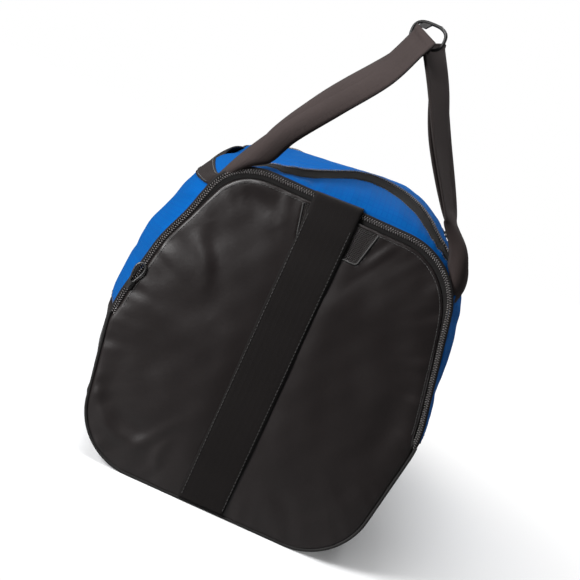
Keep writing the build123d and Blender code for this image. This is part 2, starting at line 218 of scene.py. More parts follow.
def outward(points):
    """Normals of a section, pointing out of the bag."""
    along = np.gradient(points, AROUND, axis=0)
    return unit(np.stack([-along[:, 1], along[:, 0]], 1))


MIDDLE_OUT, END_OUT = outward(MIDDLE), outward(END)


def end_share(y):
    """How far the section has closed in towards the end's at y."""
    return np.clip((np.abs(y) - 175.0) / (TUBE_END - 175.0), 0, 1) ** 1.6


def plain_tube(s, y):
    """The smooth form and its outward normal; s is in mm round the bag, 0 at the top and positive to the right."""
    s, y = np.broadcast_arrays(np.asarray(s, float), np.asarray(y, float))
    share, a, side = end_share(y), np.abs(s), np.where(s < 0, -1.0, 1.0)

    def read(middle, end, k):
        return np.interp(a, AROUND, middle[:, k]) * (1 - share) + np.interp(a, AROUND, end[:, k]) * share

    point = np.stack([side * read(MIDDLE, END, 0), y, read(MIDDLE, END, 1)], -1)
    normal = np.stack([side * read(MIDDLE_OUT, END_OUT, 0), 0 * y, read(MIDDLE_OUT, END_OUT, 1)], -1)
    return point, unit(normal)


def s_at(value, y, axis, side=1.0):
    """s where the smooth form has that x on its top (axis 0), or that z on one side (axis 2), at each y."""
    out = []
    grid = AROUND[: int(len(AROUND) * 0.86)]
    for v, place in np.broadcast(value, y):
        x = plain_tube(grid * side, place)[0][:, axis]
        if axis == 0:
            keep = grid < 260.0
            out.append(side * np.interp(abs(v), np.abs(x[keep]), grid[keep]))
        else:
            out.append(side * np.interp(-v, -x, grid))
    return np.array(out)


def zip_plan():
    """The main zip's chain as (x, y), from the hinge line's near end round to its far end."""
    near = [(x, -y) for x, y, _ in LID_CORNERS]
    far = [(x, y) for x, y, _ in reversed(LID_CORNERS)]
    radii = [r for _, _, r in LID_CORNERS]
    start = LID_CORNERS[0][1]
    return rounded([(HINGE_X, -start), *near, *far, (HINGE_X, start)], radii + radii[::-1])


def near_arc():
    """The zip's near part, from the hinge to its furthest place to the right."""
    plan = zip_plan()
    half = plan[plan[:, 1] < 0]
    half = half[: int(np.argmax(half[:, 0])) + 1]
    return half[np.argsort(half[:, 0])]


NEAR_ARC = near_arc()

SWELL = 23.0  # how far the stuffed top stands up at its fullest
SWELL_LEFT = (-85.0, 35.0)  # x where it starts to rise from the left, and where it is full
SWELL_RIGHT = (50.0, 180.0)  # x where it starts to fall to the right, and where it has run out
SWELL_NEAR = 18.0  # how soon it rises behind the near end's seam
SWELL_FAR = 520.0  # how long it takes to run out towards the far end
DIP = (-108.0, 8.0, 24.0)  # x, depth and half width of the hollow beside the lid's hinge
ZIP_VALLEY = 15.0  # half width of the flat strip along the zip's lengthwise run


def swell_across(x):
    at, depth, half_width = DIP
    full = SWELL * smooth(*SWELL_LEFT, x) * (1 - smooth(*SWELL_RIGHT, x))
    return full - depth * np.exp(-(((x - at) / half_width) ** 2))


def swell_along(y):
    rise = 1 - np.exp(-np.clip(TUBE_END + y, 0, None) / SWELL_NEAR)
    fall = 1 - np.exp(-np.clip(TUBE_END - y, 0, None) / SWELL_NEAR)
    return rise * fall * np.clip(1 - (y + 200) / SWELL_FAR, 0, 1)


def swelling(x, y, up):
    """How far the stuffed top stands above the smooth form."""
    swell = swell_across(x) * swell_along(y)
    valley = np.exp(-(((x - LID_RIGHT) / ZIP_VALLEY) ** 2)) * smooth(-268, -212, y)
    return swell * (1 - valley) * np.clip(up, 0, 1) ** 0.3


def seam_distance(s, y):
    """Distance to the nearer lengthwise seam between side and boot."""
    return np.abs(np.abs(s) - SEAM_S)


SEAM_S = float(s_at(BOOT_Z, 0.0, 2)[0])


SLACK = 8.4  # how far the near end's left shoulder hangs in
SLACK_LOW = (228.0, 288.0)  # heights where it starts, and where it is full
SLACK_HIGH = (292.0, 334.0)  # heights where it starts to go, and where it has gone


def slack(x, z):
    """How far the near end's left edge hangs in from the smooth outline, in mm along X."""
    depth = SLACK * smooth(*SLACK_LOW, z) * (1 - smooth(*SLACK_HIGH, z))
    return np.where(x < 0, depth, 0.0) * smooth(0.3, 1.0, np.abs(x) / 150.0)


def bulge(s, y):
    """The full left side stands out between its ends."""
    ends = smooth(0, 75, TUBE_END - np.abs(y))
    return 8.5 * np.exp(-(((s + 262.0) / 62.0) ** 2)) * ends


def relief(s, y):
    """Folds, puckers and slack of the cloth, in mm outwards."""
    to_end = TUBE_END - np.abs(y)
    free = 1 - np.exp(-to_end / 26.0)
    sides = smooth(HALF_GIRTH - 70, HALF_GIRTH - 150, np.abs(s))
    top = smooth(150, 90, np.abs(s))
    fold = 2.1 * waves(s, y, 120, 3, 1.6) + 0.7 * waves(s, y, 46, 5, 2.2) + 0.25 * waves(s, y, 21, 8, 1.5)
    calm = 1 - 0.6 * np.exp(-(((s + 225.0) / 80.0) ** 2))
    out = fold * free * (0.12 + 0.88 * sides) * (1 - 0.45 * top) * calm
    gather = 1.3 * waves(s, y * 0.25, 17, 11) * np.exp(-to_end / 24.0) * smooth(0, 7, to_end)
    out = out + gather * sides
    for centre, depth, wide, seed in SIDE_FOLDS:
        wander = 7 * np.sin(y / 95.0 + seed) + 3 * np.sin(y / 38.0 + 2 * seed)
        reach = 0.55 + 0.45 * np.sin(y / 120.0 + 1.7 * seed)
        out = out + depth * np.exp(-(((s - centre - wander) / wide) ** 2)) * reach
    near_seam = seam_distance(s, y)
    out = out - 1.1 * np.exp(-((near_seam / 2.2) ** 2))
    out = out + 0.7 * waves(y, s * 0.2, 15, 17) * np.exp(-near_seam / 12.0) * smooth(1.5, 6, near_seam)
    return out + bulge(s, y) - 2.2 * np.exp(-((to_end / 3.2) ** 2))


# s of the fold, depth, width, seed: lengthwise folds of the slack side cloth
SIDE_FOLDS = (
    (-205.0, -2.6, 8.0, 0.4),
    (-236.0, 1.9, 12.0, 1.3),
    (-272.0, -1.8, 9.0, 2.2),
    (205.0, -2.2, 9.0, 3.1),
    (250.0, 1.8, 14.0, 4.0),
    (286.0, -1.5, 9.0, 5.2),
)
# x and y of the ends, depth, width: folds across the top
TOP_FOLDS = (
    ((-92, -170), (-10, -205), -3.6, 8.0),
    ((-90, -120), (10, -160), 2.6, 13.0),
    ((-84, -235), (-30, -222), -2.6, 6.0),
    ((96, -235), (60, -120), -1.8, 9.0),
    ((40, 190), (-60, 120), -2.4, 12.0),
    ((100, 60), (20, 30), -1.6, 14.0),
)


def segment_fold(x, y, first, last, wide):
    """1 on the segment between two points, falling off over the width and towards its ends."""
    first, last = np.array(first, float), np.array(last, float)
    run = last - first
    t = ((x - first[0]) * run[0] + (y - first[1]) * run[1]) / (run @ run)
    held = np.clip(t, 0, 1)
    gap = np.hypot(x - first[0] - held * run[0], y - first[1] - held * run[1])
    return np.exp(-((gap / wide) ** 2)) * (0.25 + 0.75 * np.sin(math.pi * held))


def skin(s, y):
    """The bag's outer cloth at s and y, in mm."""
    point, normal = plain_tube(s, y)
    x = point[..., 0]
    point = point + normal * relief(s, y)[..., None]
    rise = swelling(x, y, normal[..., 2])
    for first, last, depth, wide in TOP_FOLDS:
        rise = rise + depth * segment_fold(x, y, first, last, wide) * np.clip(normal[..., 2], 0, 1)
    rise = rise + zip_step(point[..., 0], point[..., 1])
    rise = rise - sag(point[..., 0], point[..., 1]) * smooth(0.2, 0.9, normal[..., 2])
    point[..., 2] = np.maximum(point[..., 2] + rise, 0.4)
    point[..., 0] += slack(point[..., 0], point[..., 2]) * np.exp(-(point[..., 1] + TUBE_END) / 20.0)
    return point


def sag(x, y):
    """How far the top hangs below the form towards the far end, on the left."""
    return 10.0 * smooth(-60, 230, y) * smooth(-175, -100, x) * (1 - smooth(-30, 60, x))


STEP = 5.6
STEP_WIDE = 11.0


def zip_step(x, y):
    """The cloth climbs at the near arc of the main zip, so that its tape faces the near end."""
    inside = y - np.interp(x, NEAR_ARC[:, 0], NEAR_ARC[:, 1])
    window = smooth(-92, -50, x) * (1 - smooth(92, 120, x)) * (np.abs(y) < TUBE_END)
    climb = STEP * smooth(-STEP_WIDE, 1.5, inside)
    before = -0.75 * STEP * smooth(-70, -STEP_WIDE, inside)
    after = -0.55 * STEP * smooth(8, 90, inside)
    return (climb + before + after) * window * smooth(0, 25, y + TUBE_END)


def skin_out(s, y):
    """Outward normal of the cloth."""
    step = 1.2
    across = skin(s + step, y) - skin(s - step, y)
    along = skin(s, y + step) - skin(s, y - step)
    return unit(np.cross(across, along))


def on_skin(s, y, lift):
    """Points standing lift mm off the cloth."""
    return skin(s, y) + skin_out(s, y) * np.asarray(lift, float)[..., None]


# ---------------------------------------------------------------- the end panels' surface


def end_outline(inset, spacing=3.0):
    """The end's outline drawn in by inset, from the base's middle up the left, over the top and down the right."""
    right = END - END_OUT * inset
    loop = np.concatenate([right[::-1] * [-1, 1], right[1:]])
    return polyline(loop, spacing)


def end_half_width(z, inset):
    """Half width of the end's outline, drawn in by inset, at height z."""
    inset = np.broadcast_to(np.asarray(inset, float), np.shape(z))
    out = np.zeros(np.shape(z))
    for k, (height, amount) in enumerate(zip(np.ravel(z), np.ravel(inset))):
        edge = END - END_OUT * amount
        order = np.argsort(edge[:, 1], kind="stable")
        top, base = edge[:, 1].max(), edge[:, 1].min()
        h = np.clip(height, base + 0.01, top - 0.01)
        out.ravel()[k] = np.interp(h, edge[order, 1], edge[order, 0])
    return out


# points (x, z), depth (outwards), width: dents and folds of the end panel
END_FOLDS = (
    (((-96, 306), (-82, 310), (-64, 305), (-50, 296)), -2.2, 9.0),
    (((-104, 322), (-84, 326), (-58, 322)), 2.2, 8.0),
    (((-126, 262), (-115, 249), (-99, 234), (-88, 205)), 2.6, 7.0),
    (((-116, 272), (-100, 252), (-86, 236)), -2.4, 8.0),
    (((-152, 92), (-148, 70), (-134, 48), (-112, 36), (-84, 34)), 2.6, 6.5),
    (((-142, 96), (-134, 74), (-116, 56), (-92, 50), (-70, 60)), -2.4, 9.0),
    (((-94, 24), (-84, 42), (-66, 66), (-52, 80)), 1.5, 6.0),
    (((-60, 18), (-66, 34), (-58, 58)), 1.8, 6.0),
    (((68, 330), (54, 310), (36, 280)), 1.8, 5.0),
    (((60, 322), (46, 300), (34, 262)), -1.6, 8.0),
    (((112, 258), (140, 222), (152, 178), (150, 132)), 2.4, 13.0),
    (((96, 250), (122, 214), (132, 170), (128, 120)), -2.0, 14.0),
    (((40, 60), (78, 40), (116, 52)), -1.8, 11.0),
    (((-120, 178), (-96, 190), (-70, 186)), -1.4, 16.0),
)
DOME = 8.5
PANEL_CLOTH = 1.2  # the panel's cloth over the form, seams turned in


def cloth_inset(z):
    """How far inside the outline the end panel's upper edge is: it puffs over the zip tape at the sides."""
    return END_CLOTH_SIDE + (END_CLOTH_IN - END_CLOTH_SIDE) * smooth(250, 318, z)


def near_panel(x, z):
    """How far the near end panel's cloth stands out from the end plane, in mm."""
    x, z = np.broadcast_arrays(np.asarray(x, float), np.asarray(z, float))
    half = np.interp(z, PANEL_Z, PANEL_HALF)
    across = np.clip(1 - (x / half) ** 2, 0, 1)
    tall = np.clip(1 - ((z - 172.0) / 170.0) ** 2, 0, 1)
    inside = across * tall
    out = DOME * inside**0.55
    edge = np.minimum((half - np.abs(x)), np.minimum(z, 331.0 - z))
    angle = np.arctan2(z - 172.0, x) * 165.0
    out = out + 0.9 * waves(angle, edge * 0.3, 19, 23) * np.exp(-np.clip(edge, 0, None) / 16.0) * smooth(0, 4, edge)
    out = out + (0.9 * waves(x, z, 95, 29) + 0.28 * waves(x, z, 34, 31)) * smooth(0, 30, edge)
    for points, depth, wide in END_FOLDS:
        route = curve(points, 3.0)
        gap = np.full(x.shape, 1e9)
        place = np.zeros(x.shape)
        for k, (px, pz) in enumerate(route):
            d = np.hypot(x - px, z - pz)
            closer = d < gap
            gap = np.where(closer, d, gap)
            place = np.where(closer, k / (len(route) - 1), place)
        out = out + depth * np.exp(-((gap / wide) ** 2)) * (0.15 + 0.85 * np.sin(math.pi * place))
    middle = (WEBBING_LEFT + WEBBING_RIGHT) / 2
    pressed = np.exp(-(((x - middle) / 30.0) ** 4))
    out = out * (1 - 0.35 * pressed)
    return np.maximum(out, 0.25)


PANEL_Z = np.linspace(1.0, 332.0, 120)
PANEL_INSET = 2.0 + (cloth_inset(PANEL_Z) - 2.0) * smooth(*FLAP_BEND, PANEL_Z)
PANEL_HALF = end_half_width(PANEL_Z, PANEL_INSET)


# ---------------------------------------------------------------- meshes


def new_object(name, vertices, faces, materials=(), uv=None):
    """A mesh object from vertices in mm; uv is in mm, one pair per vertex."""
    mesh = bpy.data.meshes.new(name)
    mesh.from_pydata((np.asarray(vertices, float) * MM).tolist(), [], [list(f) for f in faces])
    mesh.validate()
    if uv is not None:
        layer = mesh.uv_layers.new(name="Cloth")
        loops = np.zeros(len(mesh.loops), np.int32)
        mesh.loops.foreach_get("vertex_index", loops)
        layer.data.foreach_set("uv", (np.asarray(uv, float)[loops] * MM * 10).ravel())
    for material in materials:
        mesh.materials.append(material)
    mesh.shade_smooth()
    obj = bpy.data.objects.new(name, mesh)
    bpy.context.scene.collection.objects.link(obj)
    return obj


def grid_faces(rows, columns, flip=False):
    """Quads of a grid of vertices, row after row."""
    index = np.arange(rows * columns).reshape(rows, columns)
    quads = np.stack([index[:-1, :-1], index[:-1, 1:], index[1:, 1:], index[1:, :-1]], -1).reshape(-1, 4)
    return quads[:, ::-1] if flip else quads


def solid(obj, thickness, inner=False):
    """Gives a sheet its thickness, inwards; inner puts the second material inside."""
    modifier = obj.modifiers.new("thickness", "SOLIDIFY")
    modifier.thickness = thickness * MM
    modifier.offset = -1
    modifier.use_quality_normals = True
    if inner:
        modifier.material_offset = 1
    return obj


def sheet_grid(name, points, uv, materials, thickness=1.1, flip=False, inner=True):
    """A sheet of cloth from a grid of points; its front faces out of the bag."""
    rows, columns = points.shape[:2]
    obj = new_object(name, points.reshape(-1, 3), grid_faces(rows, columns, flip), materials, uv.reshape(-1, 2))
    return solid(obj, thickness, inner)


def declare_sheet(obj):
    """Returns the piece as it is."""
    return obj


def beads(name, centres, longs, ups, size, materials):
    """Many small rounded bars: size is (length, width, height) in mm."""
    length, width, height = size
    rings = ((-0.5, 0.45), (-0.32, 1.0), (0.32, 1.0), (0.5, 0.45))
    sides = 6
    shape = []
    for at, wide in rings:
        for k in range(sides):
            a = 2 * math.pi * k / sides
            shape.append((at * length, math.cos(a) * width / 2 * wide, math.sin(a) * height / 2 * wide))
    shape = np.array(shape)
    faces = []
    for ring in range(len(rings) - 1):
        for k in range(sides):
            a, b = ring * sides + k, ring * sides + (k + 1) % sides
            faces.append((a, b, b + sides, a + sides))
    faces.append(tuple(range(sides))[::-1])
    faces.append(tuple(range((len(rings) - 1) * sides, len(rings) * sides)))
    longs, ups = unit(longs), unit(ups)
    across = unit(np.cross(ups, longs))
    ups = np.cross(longs, across)
    points = (
        centres[:, None, :]
        + shape[None, :, 0:1] * longs[:, None, :]
        + shape[None, :, 1:2] * across[:, None, :]
        + shape[None, :, 2:3] * ups[:, None, :]
    )
    count = len(shape)
    every = [tuple(i + n * count for i in face) for n in range(len(centres)) for face in faces]
    return new_object(name, points.reshape(-1, 3), every, materials)


def path_frames(points, outs):
    """Tangents and sideways vectors of a path on a surface with those outward normals."""
    along = unit(np.gradient(points, axis=0))
    return along, unit(np.cross(outs, along))


def stitches(name, points, outs, materials, pitch=3.6, lift=0.25):
    """A row of lockstitch thread along a path."""
    step = run_of(points)
    at = np.arange(pitch / 2, step[-1], pitch)
    centres = resampled(at, step, points)
    up = unit(resampled(at, step, outs))
    ahead = resampled(at + 0.6, step, points)
    behind = resampled(at - 0.6, step, points)
    return beads(name, centres + up * lift, ahead - behind, up, (2.7, 0.75, 0.7), materials)


def coil(name, points, outs, side, materials, pitch=2.5, lift=1.3, reach=1.1):
    """One half of a coil zip: a row of slanted teeth on one side of the path."""
    step = run_of(points)
    at = np.arange(pitch / 2 + (pitch / 2 if side > 0 else 0), step[-1], pitch)
    centres = resampled(at, step, points)
    up = unit(resampled(at, step, outs))
    along, sideways = path_frames(centres, up)
    centres = centres + sideways * side * reach + up * lift
    return beads(name, centres, sideways * side + along * 0.35, up, (2.3, 0.85, 1.4), materials)


def tube(name, points, radius, materials, closed=False, sides=10):
    """A round cord along a path."""
    points = np.asarray(points, float)
    if closed:
        along = unit(np.roll(points, -1, 0) - np.roll(points, 1, 0))
    else:
        along = unit(np.gradient(points, axis=0))
    up = np.zeros_like(points)
    last = unit(np.cross(along[0], [0.3, 0.9, 0.4]))
    for k, t in enumerate(along):
        last = unit(last - t * (last @ t))
        up[k] = last
    side = np.cross(along, up)
    angle = 2 * math.pi * np.arange(sides) / sides
    ring = np.cos(angle)[None, :, None] * up[:, None, :] + np.sin(angle)[None, :, None] * side[:, None, :]
    radius = np.broadcast_to(np.asarray(radius, float), (len(points),))
    vertices = points[:, None, :] + ring * radius[:, None, None]
    faces = []
    count = len(points)
    for i in range(count if closed else count - 1):
        for k in range(sides):
            a, b = i * sides + k, i * sides + (k + 1) % sides
            c, d = ((i + 1) % count) * sides + (k + 1) % sides, ((i + 1) % count) * sides + k
            faces.append((a, d, c, b))
    if not closed:
        faces.append(tuple(range(sides)))
        faces.append(tuple(range((count - 1) * sides, count * sides))[::-1])
    return new_object(name, vertices.reshape(-1, 3), faces, materials)


# ---------------------------------------------------------------- materials


class Graph:
    """A material's nodes, built with short calls."""

    def __init__(self, name):
        self.material = bpy.data.materials.new(name)
        self.material.use_nodes = True
        self.tree = self.material.node_tree
        self.shader = self.tree.nodes["Principled BSDF"]

    def node(self, kind, **settings):
        made = self.tree.nodes.new(kind)
        for key, value in settings.items():
            setattr(made, key, value)
        return made

    def put(self, socket, value):
        if isinstance(value, bpy.types.NodeSocket):
            self.tree.links.new(value, socket)
        else:
            socket.default_value = value

    def math(self, operation, a, b=0.0, c=0.0):
        made = self.node("ShaderNodeMath", operation=operation)
        for socket, value in zip(made.inputs, (a, b, c)):
            self.put(socket, value)
        return made.outputs[0]

    def mix(self, share, a, b):
        made = self.node("ShaderNodeMix", data_type="RGBA")
        self.put(made.inputs[0], share)
        self.put(made.inputs[6], a)
        self.put(made.inputs[7], b)
        return made.outputs[2]

    def noise(self, vector, scale, detail=3.0, rough=0.5):
        made = self.node("ShaderNodeTexNoise")
        self.put(made.inputs["Vector"], vector)
        made.inputs["Scale"].default_value = scale
        made.inputs["Detail"].default_value = detail
        made.inputs["Roughness"].default_value = rough
        return made.outputs["Fac"]

    def place(self):
        return self.node("ShaderNodeTexCoord").outputs["Object"]

    def cloth(self):
        """Across and along the cloth, in mm."""
        uv = self.node("ShaderNodeUVMap", uv_map="Cloth").outputs[0]
        apart = self.node("ShaderNodeSeparateXYZ")
        self.put(apart.inputs[0], uv)
        return self.math("MULTIPLY", apart.outputs[0], 100.0), self.math("MULTIPLY", apart.outputs[1], 100.0)

    def line(self, value, pitch, width):
        """1 on lines a pitch apart, 0 between them."""
        folded = self.math("PINGPONG", value, pitch / 2)
        edge = self.math("SUBTRACT", 1.0, self.math("DIVIDE", folded, width))
        return self.math("MAXIMUM", edge, 0.0)

    def thread(self, value, pitch):
        """A rounded ridge for each thread."""
        return self.math("SINE", self.math("MULTIPLY", value, 2 * math.pi / pitch))

    def bump(self, height, strength, distance=0.4):
        made = self.node("ShaderNodeBump")
        made.inputs["Strength"].default_value = strength
        made.inputs["Distance"].default_value = distance * MM
        self.put(made.inputs["Height"], height)
        self.put(self.shader.inputs["Normal"], made.outputs[0])

    def set(self, **values):
        names = {"base": "Base Color", "rough": "Roughness", "metal": "Metallic", "sheen": "Sheen Weight",
                 "sheen_rough": "Sheen Roughness", "sheen_tint": "Sheen Tint", "coat": "Coat Weight",
                 "coat_rough": "Coat Roughness", "specular": "Specular IOR Level", "alpha": "Alpha"}
        for key, value in values.items():
            self.put(self.shader.inputs[names[key]], value)
        return self


def grey(value, warm=0.0):
    """A grey, a little warm: the bag's blacks lean to red."""
    return (value * (1 + 2.2 * warm), value, value * (1 - 0.3 * warm), 1.0)


def plain_weave(graph, pitch):
    """Over and under of a plain weave."""
    u, v = graph.cloth()
    return graph.math("MULTIPLY", graph.thread(u, pitch), graph.thread(v, pitch)), u, v


def coated_cloth():
    """Dark polyester with a soft coating: fine weave, slow mottling and faint rub marks."""
    g = Graph("charcoal_cloth")
    weave = plain_weave(g, 0.9)[0]
    mottle = g.noise(g.place(), 18.0, 4.0)
    fine = g.noise(g.place(), 260.0, 3.0, 0.6)
    colour = g.mix(mottle, (0.0066, 0.0045, 0.0044, 1), (0.0096, 0.0067, 0.0066, 1))
    colour = g.mix(g.math("MULTIPLY", fine, 0.3), colour, (0.016, 0.0115, 0.011, 1))
    rough = g.math("ADD", 0.36, g.math("MULTIPLY", mottle, 0.14))
    g.set(base=colour, rough=rough, sheen=0.0, sheen_rough=0.4, specular=0.46)
    g.put(g.shader.inputs["Sheen Tint"], (0.8, 0.76, 0.72, 1.0))
    height = g.math("ADD", g.math("MULTIPLY", weave, 0.25), g.math("MULTIPLY", fine, 1.2))
    g.bump(height, 0.35, 0.25)
    return g.material


def ripstop():
    """Bright blue ripstop: plain weave with a doubled thread every 5 mm each way."""
    g = Graph("blue_ripstop")
    weave, u, v = plain_weave(g, 0.8)
    lines = g.math("MAXIMUM", g.line(u, 5.0, 0.7), g.line(v, 5.0, 0.7))
    mottle = g.noise(g.place(), 14.0, 3.0)
    colour = g.mix(mottle, (0.0012, 0.060, 0.225, 1), (0.0020, 0.088, 0.315, 1))
    colour = g.mix(g.math("MULTIPLY", lines, 0.5), colour, (0.001, 0.045, 0.24, 1))
    rough = g.math("SUBTRACT", 0.5, g.math("MULTIPLY", lines, 0.12))
    g.set(base=colour, rough=g.math("ADD", rough, 0.2), sheen=0.12, sheen_rough=0.3, specular=0.03)
    g.put(g.shader.inputs["Sheen Tint"], (0.12, 0.42, 1.0, 1.0))
    height = g.math("ADD", g.math("MULTIPLY", weave, 0.2), lines)
    g.bump(height, 0.45, 0.25)
    return g.material


def webbing(name, tone, half_width):
    """Herringbone webbing: slanted ribs that turn back at each column, with painted shade in the grooves and painted
    light on the crowns, and firm edges.
    """
    g = Graph(name)
    u, v = g.cloth()
    columns = g.math("PINGPONG", u, 3.1)
    ribs = g.thread(g.math("ADD", v, g.math("MULTIPLY", columns, 1.0)), 1.5)
    ends = g.thread(u, 0.78)
    groove = g.line(u, 6.2, 0.35)
    inward = g.math("SUBTRACT", half_width, g.math("ABSOLUTE", u))
    edge = g.math("MAXIMUM", g.math("SUBTRACT", 1.0, g.math("DIVIDE", inward, 1.6)), 0.0)
    dust = g.noise(g.place(), 420.0, 3.0, 0.7)
    slow = g.noise(g.place(), 22.0, 2.0)
    # Painted shade of the weave: the rib crowns are coloured lighter and the grooves darker.
    raised = g.math("MULTIPLY", g.math("ADD", ribs, 1.0), 0.5)
    colour = g.mix(raised, grey(tone * 0.72, 0.16), grey(tone * 1.15, 0.16))
    colour = g.mix(g.math("MULTIPLY", dust, 0.4), colour, grey(tone * 1.5, 0.16))
    colour = g.mix(g.math("MULTIPLY", slow, 0.35), colour, grey(tone * 0.6, 0.16))
    colour = g.mix(g.math("MULTIPLY", edge, 0.6), colour, grey(tone * 0.5, 0.05))
    g.set(base=colour, rough=0.78, sheen=0.02, sheen_rough=0.6, specular=0.15)
    height = g.math("ADD", ribs, g.math("MULTIPLY", ends, 0.4))
    height = g.math("SUBTRACT", height, g.math("MULTIPLY", groove, 1.5))
    height = g.math("ADD", height, g.math("MULTIPLY", edge, 1.2))
    g.bump(height, 0.55, 0.22)
    return g.material


def tape_cloth():
    """Zip tape: fine lengthwise ribs."""
    g = Graph("zip_tape")
    u, v = g.cloth()
    ribs = g.math("ADD", g.thread(u, 1.0), g.math("MULTIPLY", g.thread(v, 0.8), 0.4))
    fleck = g.noise(g.place(), 300.0, 2.0)
    colour = g.mix(fleck, grey(0.004, 0.06), grey(0.009, 0.06))
    g.set(base=colour, rough=0.8, sheen=0.02, sheen_rough=0.6, specular=0.25)
    g.bump(ribs, 0.5, 0.2)
    return g.material


def coil_with_painted_glint():
    """Nylon coil, smooth; its base colour is raised far above black as painted sheen, and its paler noise flecks are
    painted glints.
    """
    g = Graph("coil")
    fleck = g.noise(g.place(), 500.0, 2.0)
    # Painted sheen and glints: the grey base and its paler flecks stand in for light on black nylon.
    colour = g.mix(fleck, grey(0.05, 0.04), grey(0.20, 0.04))
    g.set(base=colour, rough=g.math("ADD", 0.2, g.math("MULTIPLY", fleck, 0.15)), specular=0.7)
    return g.material


def thread_cloth(name, tone):
    g = Graph(name)
    fleck = g.noise(g.place(), 900.0, 2.0)
    colour = g.mix(fleck, grey(tone * 0.7, 0.04), grey(tone * 1.3, 0.04))
    g.set(base=colour, rough=0.6, sheen=0.3, specular=0.4)
    return g.material


def piping_cloth():
    """Grosgrain binding, drawn with noise flecks and a noise bump."""
    g = Graph("piping_cloth")
    fleck = g.noise(g.place(), 240.0, 3.0)
    g.set(base=g.mix(fleck, grey(0.006, 0.04), grey(0.014, 0.04)), rough=0.75, sheen=0.03, specular=0.25)
    g.bump(fleck, 0.5, 0.3)
    return g.material


def mesh_cloth():
    """Knitted athletic mesh yarn."""
    g = Graph("vent_mesh")
    fleck = g.noise(g.place(), 800.0, 2.0)
    g.set(base=g.mix(fleck, grey(0.012, 0.1), grey(0.03, 0.1)), rough=0.42, sheen=0.1, specular=0.5)
    g.bump(fleck, 0.5, 0.2)
    return g.material


def lining_cloth():
    """Grey taffeta lining."""
    g = Graph("lining")
    fine = g.noise(g.place(), 500.0, 2.0)
    slow = g.noise(g.place(), 16.0, 3.0)
    colour = g.mix(slow, grey(0.055), grey(0.085))
    g.set(base=g.mix(g.math("MULTIPLY", fine, 0.4), colour, grey(0.11)), rough=0.66, sheen=0.2, specular=0.4)
    g.bump(fine, 0.3, 0.2)
    return g.material


def painted_metal():
    """Satin black paint with rubbed spots."""
    g = Graph("black_metal")
    worn = g.noise(g.place(), 160.0, 5.0, 0.65)
    colour = g.mix(g.math("MULTIPLY", worn, worn), grey(0.012), grey(0.06))
    rough = g.math("ADD", 0.24, g.math("MULTIPLY", worn, 0.2))
    g.set(base=colour, rough=rough, metal=0.0, coat=0.3, coat_rough=0.2, specular=0.7)
    g.bump(worn, 0.12, 0.2)
    return g.material


def moulded_plastic():
    """Acetal buckle: fine spark grain."""
    g = Graph("black_plastic")
    grain = g.noise(g.place(), 1400.0, 2.0)
    slow = g.noise(g.place(), 60.0, 2.0)
    rough = g.math("ADD", 0.3, g.math("MULTIPLY", grain, 0.2))
    g.set(base=g.mix(slow, grey(0.0054), grey(0.0117)), rough=rough, specular=0.303)
    g.bump(grain, 0.25, 0.1)
    return g.material


def board_plastic():
    """Stiff polyethylene base board with a leathery grain."""
    g = Graph("base_board")
    cells = g.node("ShaderNodeTexVoronoi")
    cells.inputs["Scale"].default_value = 420.0
    g.put(cells.inputs["Vector"], g.place())
    slow = g.noise(g.place(), 20.0, 3.0)
    g.set(base=g.mix(slow, grey(0.03), grey(0.05)), rough=0.6, specular=0.4)
    g.bump(cells.outputs["Distance"], 0.4, 0.3)
    return g.material


CHARCOAL = coated_cloth()
BLUE = ripstop()
END_WEBBING = webbing("end_webbing", 0.00429, 25.0)
STRAP_WEBBING = webbing("strap_webbing", 0.027, 19.0)
HANDLE_WEBBING = webbing("handle_webbing", 0.012, 12.5)
TAPE = tape_cloth()
COIL_PAINTED_GLINT = coil_with_painted_glint()
THREAD = thread_cloth("dark_thread", 0.014)
BLUE_THREAD = thread_cloth("blue_thread", 0.02)
PIPING = piping_cloth()
MESH = mesh_cloth()
LINING = lining_cloth()
METAL = painted_metal()
PLASTIC = moulded_plastic()
BOARD = board_plastic()


def tube_sheet(name, s_low, s_high, y_low, y_high, materials, spacing=4.0, count_y=None):
    """Cloth between two s limits and two y limits; each limit is a number or a function of the other's place."""
    y_count = count_y or int((TUBE_END * 2) / spacing)
    along = np.linspace(0, 1, y_count)
    along = 0.5 - 0.5 * np.cos(math.pi * along) if count_y is None else along
    y = y_low + (y_high - y_low) * (0.6 * np.linspace(0, 1, y_count) + 0.4 * along)
    low = np.array([s_low(v) if callable(s_low) else s_low for v in y])
    high = np.array([s_high(v) if callable(s_high) else s_high for v in y])
    columns = int(np.max(np.abs(high - low)) / spacing) + 2
    share = np.linspace(0, 1, columns)
    s = low[:, None] + (high - low)[:, None] * share[None, :]
    grid_y = np.broadcast_to(y[:, None], s.shape)
    return sheet_grid(name, skin(s, grid_y), np.stack([s, grid_y], -1), materials)


def finish_sheet(obj, body, replaced):
    declare_sheet(obj)
    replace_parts(obj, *replaced)
    if body:
        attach(obj, body)
    return obj


# ---------------------------------------------------------------- long walls


def s_x(x, side=1.0):
    """s on the top at that x, for each y."""
    knots = np.linspace(-TUBE_END, TUBE_END, 61)
    values = s_at(x, knots, 0, side)
    return lambda y: float(np.interp(y, knots, values))


def s_z(z, side):
    knots = np.linspace(-TUBE_END, TUBE_END, 61)
    values = s_at(z, knots, 2, side)
    return lambda y: float(np.interp(y, knots, values))


S_FOLD = s_x(abs(LID_FOLD_X), -1.0)
S_SEAM = s_x(SEAM_X)
S_BOOT_L, S_BOOT_R = s_z(BOOT_Z, -1.0), s_z(BOOT_Z, 1.0)
BASE_EDGE_S = float(HALF_GIRTH - 86.0)


